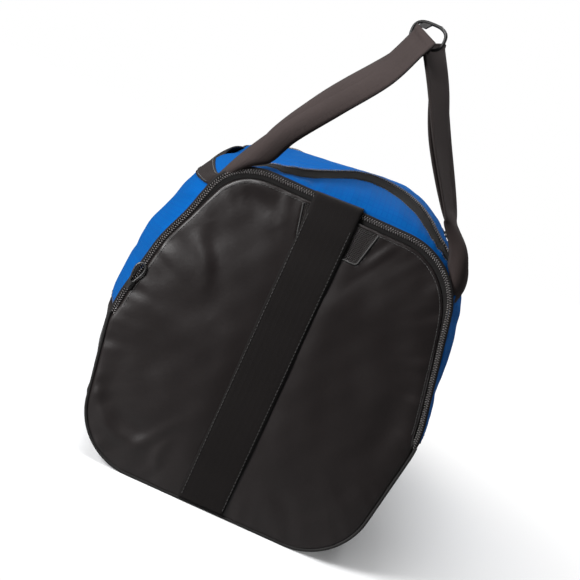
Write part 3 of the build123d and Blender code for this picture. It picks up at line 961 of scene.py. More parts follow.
def long_walls():
    left = tube_sheet("left_side_cloth", S_BOOT_L, S_FOLD, -TUBE_END, TUBE_END, (BLUE, LINING))
    finish_sheet(left, "bag", ["left_side_panel"])
    right = tube_sheet("right_side_cloth", S_SEAM, S_BOOT_R, -TUBE_END, TUBE_END, (BLUE, LINING))
    finish_sheet(right, "bag", ["right_side_panel"])
    boot = tube_sheet("left_boot_cloth", -BASE_EDGE_S, S_BOOT_L, -TUBE_END, TUBE_END, (CHARCOAL, LINING))
    finish_sheet(boot, "bag", ["left_boot_panel"])
    boot = tube_sheet("right_boot_cloth", S_BOOT_R, BASE_EDGE_S, -TUBE_END, TUBE_END, (CHARCOAL, LINING))
    finish_sheet(boot, "bag", ["right_boot_panel"])
    half = HALF_GIRTH - BASE_EDGE_S
    y = np.linspace(-TUBE_END, TUBE_END, 100)
    around = np.linspace(-half, half, 40)
    s = np.sign(around)[None, :] * (HALF_GIRTH - np.abs(around))[None, :] + 0 * y[:, None]
    s = np.where(s == 0, HALF_GIRTH, s)
    grid_y = np.broadcast_to(y[:, None], s.shape)
    uv = np.stack([np.broadcast_to(around[None, :], s.shape), grid_y], -1)
    base = sheet_grid("base_cloth", skin(s, grid_y), uv, (CHARCOAL, LINING), flip=True)
    finish_sheet(base, "bag", ["bottom_panel"])
    for side, word in ((-1, "left"), (1, "right")):
        y = np.arange(-TUBE_END + 4, TUBE_END - 4, 2.0)
        seam = np.array([(S_BOOT_L if side < 0 else S_BOOT_R)(v) for v in y])
        upper = seam - side * 3.2
        row = stitches(f"{word}_seam_stitches", on_skin(upper, y, 0.1 + 0 * y), skin_out(upper, y), (BLUE_THREAD,))
        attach(row, "bag")


# ---------------------------------------------------------------- main zip, crescents and lid


def zip_route():
    """The main zip's chain as (s, y), from the hinge line's near end round to its far end."""
    plan = polyline(zip_plan(), 2.5)
    s = np.array([float(s_at(abs(x), y, 0, -1.0 if x < 0 else 1.0)[0]) for x, y in plan])
    return np.stack([s, plan[:, 1]], 1)


ROUTE = zip_route()
ROUTE_SIDE = unit(np.stack([-np.gradient(ROUTE[:, 1]), np.gradient(ROUTE[:, 0])], 1)) * -1.0  # away from the lid


def beside_zip(offset, lift=0.0):
    """Points on the cloth along the main zip, offset mm outwards from its chain."""
    place = ROUTE + ROUTE_SIDE * offset
    return on_skin(place[:, 0], place[:, 1], lift + 0 * place[:, 0])


def reach_at(offset):
    """Distance from the middle to the zip's near arc, as a function of s, offset mm outwards."""
    place = ROUTE + ROUTE_SIDE * offset
    half = place[: len(place) // 2]
    first = int(np.argmax(half[:, 0]))
    half = half[: first + 1]
    order = np.argsort(half[:, 0])
    return half[order, 0], -half[order, 1]


def crescent_sheet(name, side, materials):
    s_known, reach = reach_at(BODY_TAPE)
    low, high = S_FOLD(-260.0), S_SEAM(-290.0)
    s = np.linspace(low, high, 78)
    inner = np.interp(s, s_known, reach)
    rows = 26
    share = np.linspace(0, 1, rows)
    y = TUBE_END + (inner - TUBE_END)[None, :] * share[:, None]
    grid_s = np.broadcast_to(s[None, :], y.shape)
    y = side * y
    return sheet_grid(name, skin(grid_s, y), np.stack([grid_s, y], -1), materials, flip=side > 0)


def lid_sheet():
    s_known, reach = reach_at(-LID_TAPE)
    low, high = S_FOLD(0.0), s_known.max()
    t = np.linspace(0, 1, 64)
    s = low + (high - low) * np.sin(t * math.pi / 2) ** 0.9
    reach = np.interp(s, s_known, reach)
    rows = np.linspace(-1, 1, 150)
    y = reach[None, :] * rows[:, None]
    grid_s = np.broadcast_to(s[None, :], y.shape)
    return sheet_grid("lid_cloth", skin(grid_s, y), np.stack([grid_s, y], -1), (BLUE, LINING), flip=False)


def bend_lid(obj):
    """Bakes a lid piece's placement into its mesh."""
    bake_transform(obj)


def zip_band(name, offsets, lifts, materials):
    rows = [beside_zip(o, l) for o, l in zip(offsets, lifts)]
    points = np.stack(rows, 1)
    along = run_of(ROUTE)
    uv = np.stack(np.broadcast_arrays(np.asarray(offsets, float)[None, :], along[:, None]), -1)
    return sheet_grid(name, points, uv, materials, 0.8, inner=False)


def main_opening():
    near = crescent_sheet("near_crescent_cloth", -1, (BLUE, LINING))
    finish_sheet(near, "bag", ["near_top_panel"])
    far = crescent_sheet("far_crescent_cloth", 1, (BLUE, LINING))
    finish_sheet(far, "bag", ["far_top_panel"])
    lid = lid_sheet()
    finish_sheet(lid, None, ["lid_panel"])
    bend_lid(lid)

    outer = zip_band("main_zip_tape_bag", (0.5, 2.5, 5.0, BODY_TAPE - 0.4, BODY_TAPE + 1.0),
                     (0.9, 0.8, 0.7, 0.7, 0.1), (TAPE,))
    finish_sheet(outer, "bag", ["main_zip_body_half"])
    inner = zip_band("main_zip_tape_lid", (-0.5, -2.5, -LID_TAPE + 0.2, -LID_TAPE - 1.0)[::-1],
                     (0.9, 0.8, 0.5, -0.5)[::-1], (TAPE,))
    finish_sheet(inner, None, ["main_zip_lid_half"])
    bend_lid(inner)

    chain = beside_zip(0.0)
    outs = skin_out(ROUTE[:, 0], ROUTE[:, 1])
    half = coil("main_zip_coil_bag", chain, outs, OUTER_SIDE, (COIL_PAINTED_GLINT,), lift=1.6)
    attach(half, "bag")
    half = coil("main_zip_coil_lid", chain, outs, -OUTER_SIDE, (COIL_PAINTED_GLINT,), lift=1.6)
    bend_lid(half)
    seam = beside_zip(BODY_TAPE + 2.4, 0.1)
    place = ROUTE + ROUTE_SIDE * (BODY_TAPE + 2.4)
    row = stitches("main_zip_stitches", seam, skin_out(place[:, 0], place[:, 1]), (BLUE_THREAD,), pitch=3.4)
    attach(row, "bag")


def outer_side():
    """Which way the frames' sideways vector points, seen from the lid."""
    chain = beside_zip(0.0)
    _, sideways = path_frames(chain, skin_out(ROUTE[:, 0], ROUTE[:, 1]))
    towards = beside_zip(2.0) - chain
    return 1.0 if np.sum(sideways * towards) > 0 else -1.0


OUTER_SIDE = outer_side()


# ---------------------------------------------------------------- near end


def end_path(inset, low_z, spacing=2.0):
    """The end outline above a height, drawn in by inset, as points (x, z) from lower left to lower right."""
    line = end_outline(inset, spacing)
    keep = line[:, 1] >= low_z
    first = int(np.argmax(keep & (np.arange(len(line)) > len(line) * 0.1)))
    last = len(line) - 1 - int(np.argmax((keep & (np.arange(len(line)) < len(line) * 0.9))[::-1]))
    return line[first : last + 1]


def in_end_plane(flat, stand):
    """Points of the end plane, standing stand mm out of it."""
    stand = np.broadcast_to(np.asarray(stand, float), (len(flat),))
    return np.stack([flat[:, 0] + slack(flat[:, 0], flat[:, 1]), NEAR_Y - stand, flat[:, 1]], 1)


def end_line(inset, low_z, spacing=2.0):
    """The end outline drawn in by inset on top, and by less at the sides where the inset is deeper than the coil."""
    wide = end_path(inset, low_z, spacing)
    narrow = end_path(END_CHAIN_IN + (inset - END_CHAIN_IN) * 0.62 if inset > END_CHAIN_IN else inset, low_z, spacing)
    at = np.linspace(0, 1, len(wide))
    narrow = np.stack([np.interp(at, np.linspace(0, 1, len(narrow)), narrow[:, k]) for k in range(2)], 1)
    share = smooth(250, 318, wide[:, 1])[:, None]
    return narrow * (1 - share) + wide * share


def end_band(name, insets, stands, low_z, materials):
    lines = [end_line(i, low_z) for i in insets]
    count = len(lines[0])
    even = np.linspace(0, 1, count)
    lines = [resampled(even, np.linspace(0, 1, len(line)), line) for line in lines]
    points = np.stack([in_end_plane(line, stand) for line, stand in zip(lines, stands)], 1)
    along = run_of(lines[0])
    uv = np.stack(np.broadcast_arrays(np.asarray(insets, float)[None, :], along[:, None]), -1)
    return sheet_grid(name, points, uv, materials, 0.8, inner=False)


def bend_flap(obj):
    """Bakes an end flap piece's placement into its mesh."""
    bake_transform(obj)


def end_panel_cloth():
    rows, columns = 118, 104
    t = np.linspace(0, 1, rows)
    t = 0.55 * t + 0.45 * (0.5 - 0.5 * np.cos(math.pi * t))
    z = 1.2 + (342.0 - END_CLOTH_IN - 1.2) * t
    inset = 2.0 + (cloth_inset(z) - 2.0) * smooth(*FLAP_BEND, z)
    half = end_half_width(z, inset)
    share = np.linspace(-1, 1, columns)
    share = np.sign(share) * np.abs(share) ** 0.85
    x = half[:, None] * share[None, :]
    grid_z = np.broadcast_to(z[:, None], x.shape)
    stand = near_panel(x, grid_z)
    rim = np.minimum.reduce([half[:, None] - np.abs(x), grid_z - 1.2, 342.0 - END_CLOTH_IN - grid_z])
    stand = stand + (PANEL_CLOTH - 0.2) * smooth(0, 2.5, rim) + 0.2
    points = np.stack([x + slack(x, grid_z), NEAR_Y - stand, grid_z], -1)
    uv = np.stack([x, grid_z], -1)
    obj = sheet_grid("end_panel_cloth", points, uv, (CHARCOAL, LINING), 1.1)
    cut_vent(obj)
    panels = ["end_panel_lower", "end_panel_upper"]
    finish_sheet(obj, None, panels)
    bend_flap(obj)


def end_zip():
    low = BOOT_Z - 4
    outer = end_band("end_zip_tape_outer", (0.2, 1.6, 4.0), (0.4, 1.0, 1.1), low, (TAPE,))
    finish_sheet(outer, "bag", ["end_zip_body_half"])
    insets = (5.0, 7.5, END_CLOTH_IN - 1.5, END_CLOTH_IN + 1.5)
    inner = end_band("end_zip_tape_inner", insets, (1.1, 1.0, 0.5, 0.1), low, (TAPE,))
    finish_sheet(inner, None, ["end_zip_flap_half"])
    bend_flap(inner)
    chain = in_end_plane(end_path(END_CHAIN_IN, low, 1.5), 0.6)
    outs = np.tile([0.0, -1.0, 0.0], (len(chain), 1))
    _, sideways = path_frames(chain, outs)
    middle = np.array([0.0, NEAR_Y, 172.0])
    inward = 1.0 if np.sum(sideways * (middle - chain)) > 0 else -1.0
    half = coil("end_zip_coil_bag", chain, outs, -inward, (COIL_PAINTED_GLINT,), lift=1.2)
    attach(half, "bag")
    half = coil("end_zip_coil_flap", chain, outs, inward, (COIL_PAINTED_GLINT,), lift=1.2)
    bend_flap(half)
    line = end_line(END_CLOTH_IN + 3.6, low + 14)
    stand = near_panel(line[:, 0], line[:, 1]) + 1.1
    row = stitches("end_panel_stitches", in_end_plane(line, stand), outs[:1] + 0 * in_end_plane(line, 0), (THREAD,), pitch=3.4)
    bend_flap(row)


def near_piping_cord():
    line = end_outline(1.4, 2.0)
    count = len(line)
    left = [k for k in range(count // 2) if line[k, 1] < FLAP_Z]
    right = [k for k in range(count // 2, count) if line[k, 1] < FLAP_Z]
    flat = np.concatenate([line[right], line[left]])
    cord = tube("near_piping_cord", in_end_plane(flat, 0.9), 1.7, (PIPING,))
    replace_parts(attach(cord, "bag"), "near_piping")


def webbing_stand(z):
    """How far the end webbing's face stands off the end plane at height z: it bridges the panel's hollows."""
    x = np.linspace(WEBBING_LEFT, WEBBING_RIGHT, 9)
    under = near_panel(x[None, :], z[:, None]).max(axis=1)
    held = np.array([under[max(0, k - 3) : k + 4].max() for k in range(len(under))])
    return held + PANEL_CLOTH + 1.75


def end_webbing_strip():
    z = np.linspace(4.0, 338.0, 150)
    top_z, over = 338.0, 7.0
    x = np.linspace(WEBBING_LEFT, WEBBING_RIGHT, 15)
    known = np.clip(z, 0, 322)
    stand = webbing_stand(known)
    ripple = 0.35 * waves(z, 0 * z, 60, 61)
    stand = np.convolve(np.pad(stand, 4, mode="edge"), np.ones(9) / 9, mode="valid") + ripple
    stand = np.where(z > 318, np.maximum(stand, 3.4), stand)
    z = np.append(z, [top_z + 2.4, top_z + 3.6, top_z + 4.0])
    stand = np.append(stand, [stand[-1] - 0.8, stand[-1] - 2.6, -over + 2.0])
    side = np.abs(np.linspace(-1, 1, 15))
    points = np.zeros((len(z), len(x), 3))
    points[..., 0] = x[None, :] + 0.7 * waves(z, 0 * z, 120, 62)[:, None]
    points[..., 1] = NEAR_Y - stand[:, None] + 0.5 * side[None, :] ** 4
    points[..., 2] = z[:, None] + np.where(z > 330, 1, 0)[:, None] * (0.055 * (x - x[0]))[None, :]
    uv = np.stack(np.broadcast_arrays((x - x.mean())[None, :], z[:, None]), -1)
    obj = sheet_grid("end_webbing_strip", points, uv, (END_WEBBING,), 1.6, inner=False)
    declare_sheet(obj)
    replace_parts(obj, "end_webbing_upper", "end_webbing_lower")
    bend_flap(obj)
    rows = []
    for edge in (WEBBING_LEFT + 2.6, WEBBING_RIGHT - 2.6):
        at = np.arange(8.0, 322.0, 1.5)
        rows.append(in_end_plane(np.stack([edge + 0 * at, at], 1), np.interp(at, z[:150], stand[:150])))
    for k, points in enumerate(rows):
        outs = np.tile([0.0, -1.0, 0.0], (len(points), 1))
        row = stitches(f"end_webbing_stitches_{k + 1}", points, outs, (THREAD,), pitch=4.0, lift=0.1)
        bend_flap(row)


VENT_LOW, VENT_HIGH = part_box("vent_mesh")
VENT_MIDDLE = (VENT_LOW.x + VENT_HIGH.x) / 2 / MM
VENT_BASE_HALF, VENT_TOP_HALF = 32.0, (VENT_HIGH.x - VENT_LOW.x) / 2 / MM


def cut_vent(panel):
    """Cuts the vent's opening in the end panel and draws the cut's edge straight."""
    low_z, high_z = VENT_LOW.z / MM, VENT_HIGH.z / MM
    slope = (VENT_TOP_HALF - VENT_BASE_HALF) / (high_z - low_z)
    work = bmesh.new()
    work.from_mesh(panel.data)

    def room(x, z):
        half = VENT_BASE_HALF + slope * (z - low_z)
        return min(half - abs(x - VENT_MIDDLE), z - low_z, high_z - z)

    cut = [f for f in work.faces if room(f.calc_center_median().x / MM, f.calc_center_median().z / MM) > 0]
    gone = set(cut)
    edge = {v for f in cut for v in f.verts if any(g not in gone for g in v.link_faces)}
    for v in edge:
        x, z = v.co.x / MM, v.co.z / MM
        half = VENT_BASE_HALF + slope * (z - low_z)
        side = math.copysign(1.0, x - VENT_MIDDLE)
        gaps = {"side": abs(half - abs(x - VENT_MIDDLE)), "low": abs(z - low_z), "high": abs(high_z - z)}
        nearest = min(gaps, key=gaps.get)
        if nearest == "side":
            v.co.x = (VENT_MIDDLE + side * half) * MM
        else:
            v.co.z = (low_z if nearest == "low" else high_z) * MM
    bmesh.ops.delete(work, geom=cut, context="FACES")
    work.to_mesh(panel.data)
    work.free()


def vent():
    """Knitted mesh: a lattice of yarn with open holes, and the bound edge round it."""
    low_z, high_z = VENT_LOW.z / MM, VENT_HIGH.z / MM
    pitch = 2.1
    base_half, top_half = VENT_BASE_HALF, VENT_TOP_HALF
    middle = VENT_MIDDLE
    columns = int(2 * top_half / pitch)
    rows = int((high_z - low_z) / (pitch * 0.8))
    vertices, faces, seen = [], [], {}

    def corner(i, j):
        if (i, j) not in seen:
            z = low_z + (high_z - low_z) * j / rows
            half = base_half + (top_half - base_half) * j / rows
            x = middle + half * (2 * i / columns - 1)
            seen[(i, j)] = len(vertices)
            vertices.append((x, NEAR_Y - float(near_panel(x, z)) - 0.9 - 0.25 * ((i + j) % 2), z))
        return seen[(i, j)]

    for i in range(columns):
        for j in range(rows):
            faces.append((corner(i, j), corner(i + 1, j), corner(i + 1, j + 1), corner(i, j + 1)))
    obj = new_object("vent_mesh_cloth", vertices, faces, (MESH,))
    wire = obj.modifiers.new("yarn", "WIREFRAME")
    wire.thickness = 0.85 * MM
    wire.use_replace = True
    wire.use_even_offset = False
    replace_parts(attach(obj, "end_flap"), "vent_mesh")
    edge = curve_edge(middle, base_half, top_half, low_z, high_z)
    outs = np.tile([0.0, -1.0, 0.0], (len(edge), 1))
    stand = near_panel(edge[:, 0], edge[:, 1]) + 1.35
    bound = in_end_plane(edge, stand)
    frame_strip = tube("vent_edge_cord", bound, 0.9, (THREAD,), sides=6)
    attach(frame_strip, "end_flap")
    row = stitches("vent_stitches", bound + [0, -0.9, 0], outs, (THREAD,), pitch=3.0)
    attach(row, "end_flap")


def curve_edge(middle, base_half, top_half, low_z, high_z):
    left = [(middle - top_half, high_z), (middle - base_half, low_z)]
    corners = [*left, (middle + base_half, low_z), (middle + top_half, high_z)]
    return polyline(rounded(corners, (4.0, 4.0)), 1.5)


# ---------------------------------------------------------------- far end


def far_end():
    rows, columns = 70, 70
    t = np.linspace(0, 1, rows)
    t = 0.6 * t + 0.4 * (0.5 - 0.5 * np.cos(math.pi * t))
    z = 1.2 + 338.5 * t
    half = end_half_width(z, 2.0)
    share = np.linspace(-1, 1, columns)
    x = half[:, None] * share[None, :]
    grid_z = np.broadcast_to(z[:, None], x.shape)
    inside = np.clip(1 - (x / half[:, None]) ** 2, 0, 1) * np.clip(1 - ((grid_z - 171) / 172) ** 2, 0, 1)
    stand = 9.0 * inside**0.6 + (1.4 * waves(x, grid_z, 110, 71) + 0.4 * waves(x, grid_z, 38, 72)) * inside**0.5 + 0.3
    edge = np.minimum(half[:, None] - np.abs(x), np.minimum(grid_z - 1, 340 - grid_z))
    angle = np.arctan2(grid_z - 172.0, x) * 165.0
    stand = stand + 1.1 * waves(angle, edge * 0.3, 18, 73) * np.exp(-edge / 15.0) * smooth(0, 4, edge)
    low_z = grid_z - sag(x, -NEAR_Y) * smooth(250, 340, grid_z)
    points = np.stack([x, -NEAR_Y + np.maximum(stand, 0.2), low_z], -1)
    obj = sheet_grid("far_end_cloth", points, np.stack([x, grid_z], -1), (CHARCOAL, LINING), flip=True)
    finish_sheet(obj, "bag", ["far_end_panel"])
    line = end_outline(1.4, 2.0)[:-1]
    low_z = line[:, 1] - sag(line[:, 0], -NEAR_Y) * smooth(250, 340, line[:, 1])
    points = np.stack([line[:, 0], 0 * line[:, 0] - NEAR_Y + 0.9, low_z], 1)
    cord = tube("far_piping_cord", points, 1.8, (PIPING,), closed=True)
    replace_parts(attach(cord, "bag"), "far_piping")


# ---------------------------------------------------------------- inside


def inside():
    low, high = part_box("pocket_divider")
    rows, columns = 70, 70
    t = np.linspace(0, 1, rows)
    z = low.z / MM + 1 + (high.z / MM - 8 - low.z / MM) * t
    y = high.y / MM + (low.y / MM - high.y / MM) * t
    share = np.linspace(-1, 1, columns)
    half = np.zeros(rows)
    for k in range(rows):
        section = np.interp(z[k], MIDDLE[::-1, 1], MIDDLE[::-1, 0]), np.interp(z[k], END[::-1, 1], END[::-1, 0])
        w = float(end_share(y[k]))
        half[k] = section[0] * (1 - w) + section[1] * w - 5.0
    x = half[:, None] * share[None, :]
    grid_z = np.broadcast_to(z[:, None], x.shape)
    bulge = 3.0 * waves(x, grid_z, 100, 81) * np.clip(1 - share[None, :] ** 2, 0, 1) * np.sin(math.pi * t)[:, None]
    grid_y = y[:, None] + bulge
    points = np.stack([x, np.maximum(grid_y, NEAR_Y + 6), grid_z], -1)
    obj = sheet_grid("divider_cloth", points, np.stack([x, grid_z], -1), (LINING,), 0.8, inner=False)
    finish_sheet(obj, "bag", ["pocket_divider"])
    board = frame["nodes"]["base_board"]
    board.data.materials.clear()
    board.data.materials.append(BOARD)


# ---------------------------------------------------------------- straps


def ribbon(name, left, right, width, materials, thickness, columns=11, steps=None):
    """Webbing between two edge curves; where they come closer than its width, it turns and cups."""
    left, right = np.asarray(left, float), np.asarray(right, float)
    steps = steps or 8 * len(left)
    at = np.linspace(0, len(left) - 1, steps)
    index = np.arange(len(left), dtype=float)
    left = np.stack([through(at, index, left[:, k]) for k in range(left.shape[1])], 1)
    right = np.stack([through(at, index, right[:, k]) for k in range(right.shape[1])], 1)
    centre = (left + right) / 2
    chord = right - left
    length = np.linalg.norm(chord, axis=1, keepdims=True)
    along = unit(np.gradient(centre, axis=0))
    face = unit(np.cross(chord / length, along))
    face = np.where((face[:, 1] > 0)[:, None], -face, face)
    share = np.linspace(-1, 1, columns)
    lack = np.clip(width - length, 0, width * 0.4)
    bow = 0.61 * np.sqrt(np.clip(lack * width, 0, None))
    points = centre[:, None, :] + chord[:, None, :] * share[None, :, None] / 2
    points = points + face[:, None, :] * (bow[:, :, None] * (1 - share[None, :, None] ** 2))
    run = run_of(centre)
    uv = np.stack(np.broadcast_arrays(share[None, :] * width / 2, run[:, None]), -1)
    obj = new_object(name, points.reshape(-1, 3), grid_faces(steps, columns, flip=False), materials, uv.reshape(-1, 2))
    normal_y = np.mean([p.normal.y for p in obj.data.polygons])
    if normal_y > 0:
        obj.data.flip_normals()
    modifier = obj.modifiers.new("thickness", "SOLIDIFY")
    modifier.thickness = thickness * MM
    modifier.offset = 0
    modifier.use_quality_normals = True
    return obj


# The strap's corners as the CAD has them, x and z on the plane of the near end
LEFT_ROOT = (-113.5, 321.0)
LEFT_TOP = (3.0, 514.0)
RIGHT_ROOT = (135.0, 302.0)
RIGHT_BEND = (106.0, 362.0)
RIGHT_TOP = (19.0, 511.0)
BAR_FOLD = 2.6  # radius of the webbing's fold over the buckle's bar
TAIL_BACK = 4.5  # how far the doubled spare length lies behind the leg
LEFT_GATHER = (249.0, 479.0)  # heights where the leg is wholly gathered, and where it is free to turn
RIGHT_GATHER = (300.0, 368.0)


def beside(corner, dx, dz):
    return corner[0] + dx, corner[1] + dz


def between(a, b, share, dx=0.0, dz=0.0):
    return a[0] + (b[0] - a[0]) * share + dx, a[1] + (b[1] - a[1]) * share + dz


def over_bar(place, lie, turn, back):
    """The webbing's last stations: over the buckle's bar, and down behind it."""
    behind = back + 2 * BAR_FOLD
    return (
        (beside(place, 0, 3), lie, turn, back + BAR_FOLD),
        (place, lie, turn, behind),
        (beside(place, -2, -9), lie, turn, behind),
    )


# Each station of a leg: its place, how its width lies from level and how far it is turned edge-on, both in
# degrees, the right edge back where the turn is positive, and how far back the station stands
LEFT_LEG = (
    (beside(LEFT_ROOT, -5, -25), 42, -5, 3),
    (LEFT_ROOT, 46, -5, 2),
    (between(LEFT_ROOT, LEFT_TOP, 0.13, 2, 0), 14, -32, 0),
    (between(LEFT_ROOT, LEFT_TOP, 0.30), -4, -50, 0),
    (between(LEFT_ROOT, LEFT_TOP, 0.55, 2, -3), -20, -52, 0),
    (between(LEFT_ROOT, LEFT_TOP, 0.80, 4, -5), -32, -51, 0),
    (beside(LEFT_TOP, -3, -6), -34, -52, -1),
    (beside(LEFT_TOP, 1, 5), -26, -48, -2),
    *over_bar(beside(LEFT_TOP, 1, 5), -26, -48, -2),
)
RIGHT_LEG = (
    (beside(RIGHT_ROOT, -3, -6), -45, 50, 20),
    (beside(RIGHT_ROOT, -4, 20), -29, 40, 10),
    (between(RIGHT_ROOT, RIGHT_BEND, 0.6, 5, 4), -20, 45, 3),
    (RIGHT_BEND, -14, 58, 0),
    (between(RIGHT_BEND, RIGHT_TOP, 0.10), 0, 69, 0),
    (between(RIGHT_BEND, RIGHT_TOP, 0.50, -1, -3), 5, 62, 0),
    (between(RIGHT_BEND, RIGHT_TOP, 0.80), 12, 54, 6),
    (beside(RIGHT_TOP, -2, 2), 24, 54, 12),
    *over_bar(beside(RIGHT_TOP, -2, 2), 24, 54, 12),
)


def leg_edges(stations, gather):
    """Edge curves (left and right, in 3-D) through a leg's stations. Low down, where the webbing is gathered into
    its seam, it cups instead of turning."""
    left, right = [], []
    for (x, z), lie, turn, back in stations:
        lie, turn = math.radians(lie), math.radians(turn)
        seen = STRAP_WIDTH / 2 * math.cos(turn)
        freedom = min(max((z - gather[0]) / (gather[1] - gather[0]), 0.1), 1.0)
        lean = STRAP_WIDTH / 2 * math.sin(turn) * freedom
        across = np.array([seen * math.cos(lie), lean, seen * math.sin(lie)])
        centre = np.array([x, STRAP_Y + back, z])
        left.append(centre - across)
        right.append(centre + across)
    return left, right


def tail(leg, first, last, aside, opened):
    """The strap's spare length, doubled behind a leg from one of its stations to another. It stands out past the
    leg's edges at its middle, and runs out behind it at both ends."""
    at = np.linspace(first, last, 9)
    index = np.arange(len(leg), dtype=float)
    parts = [[s[0][0] for s in leg], [s[0][1] for s in leg], *[[s[k] for s in leg] for k in (1, 2, 3)]]
    x, z, lie, turn, back = [through(at, index, np.array(part, float)) for part in parts]
    out = np.sin(np.pi * np.linspace(0, 1, len(at)))
    turn = np.sign(turn) * (np.abs(turn) + 7.0 - (7.0 + opened) * out)
    places = zip(x - aside * out, z + 0.5 * aside * out)
    return tuple(zip(places, lie, turn, back + TAIL_BACK))


def bend_strap(obj):
    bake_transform(obj)


def shoulder_strap():
    legs = {"left": LEFT_LEG, "right": RIGHT_LEG}
    gathers = {"left": LEFT_GATHER, "right": RIGHT_GATHER}
    tails = {"left": tail(LEFT_LEG, 2.6, 5.6, 4.5, 3), "right": tail(RIGHT_LEG, 3.4, 5.9, 1.0, 14)}
    for word, leg in legs.items():
        edges = leg_edges(leg, gathers[word])
        obj = ribbon(f"strap_{word}_webbing", *edges, STRAP_WIDTH, (STRAP_WEBBING,), 1.7, steps=130)
        declare_sheet(obj)
        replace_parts(obj, f"strap_anchor_{word}", f"strap_{word}_leg")
        bend_strap(obj)
    for word, stations in tails.items():
        edges = leg_edges(stations, gathers[word])
        obj = ribbon(f"strap_{word}_tail", *edges, STRAP_WIDTH, (STRAP_WEBBING,), 1.6)
        declare_sheet(obj)
        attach(obj, "strap")


# ---------------------------------------------------------------- buckle

BUCKLE_SIZE = (44.0, 27.0)  # as in the CAD
BUCKLE_RAIL = 1.75  # radius of its frame
BUCKLE_MIDDLE = np.array([7.0, STRAP_Y + 5.0, 521.0])
BUCKLE_ALONG = unit(np.array([0.80, -0.60, 0.0]))  # turned as the left leg's top is
BUCKLE_ROUND = 0.72  # 1 makes the frame an oval, and less makes it squarer
TAB_LINE = ((-9.0, 5.0), (-3.0, 11.0), (6.5, 13.0))  # the thumb tab's middle line from the middle, x and z


def buckle_frame():
    """A closed line round the buckle, between an oval and a rectangle."""
    angle = np.linspace(0, 2 * math.pi, 72, endpoint=False)
    long = np.sign(np.cos(angle)) * np.abs(np.cos(angle)) ** BUCKLE_ROUND * (BUCKLE_SIZE[0] / 2 - BUCKLE_RAIL)
    tall = np.sign(np.sin(angle)) * np.abs(np.sin(angle)) ** BUCKLE_ROUND * (BUCKLE_SIZE[1] / 2 - BUCKLE_RAIL)
    return BUCKLE_MIDDLE + long[:, None] * BUCKLE_ALONG + tall[:, None] * np.array([0, 0, 1.0])


def buckle_tab():
    points = [BUCKLE_MIDDLE + x * BUCKLE_ALONG / BUCKLE_ALONG[0] + np.array([0, 0, z]) for x, z in TAB_LINE]
    middle = curve(points, 1.2)
    half = 5.0 - 1.5 * np.linspace(0, 1, len(middle)) ** 2
    offsets = half[:, None] * np.linspace(-1, 1, 9)[None, :]
    points = middle[:, None, :] + offsets[:, :, None] * BUCKLE_ALONG
    tab = new_object("strap_buckle_tab", points.reshape(-1, 3), grid_faces(len(middle), 9), (PLASTIC,))
    modifier = tab.modifiers.new("thickness", "SOLIDIFY")
    modifier.thickness = 2.5 * MM
    modifier.offset = 0
    rounder = tab.modifiers.new("edges", "BEVEL")
    rounder.width = 0.8 * MM
    rounder.segments = 3
    return tab


def buckle():
    """Ladder-lock: a frame, two cross bars inside the webbing's folds, and a thumb tab standing up on top."""
    rail = tube("strap_buckle_frame", buckle_frame(), BUCKLE_RAIL, (PLASTIC,), closed=True)
    pieces = [rail, buckle_tab()]
    for k, leg in enumerate((LEFT_LEG, RIGHT_LEG)):
        place, lie, turn, back = leg[-4]
        left, right = leg_edges([(place, lie, turn, back + BAR_FOLD)], LEFT_GATHER)
        pieces.append(tube(f"strap_buckle_bar_{k + 1}", polyline([left[0], right[0]], 3.0), 1.25, (PLASTIC,)))
    for piece in pieces:
        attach(piece, "buckle")
    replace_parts(rail, "strap_buckle")


# ---------------------------------------------------------------- carry handles


SHOULDER = (146.85, 309.36)      # x and z of the handle's middle line on the shoulder
SEWN_FROM, LIFTED_FROM = 152.0, 112.0


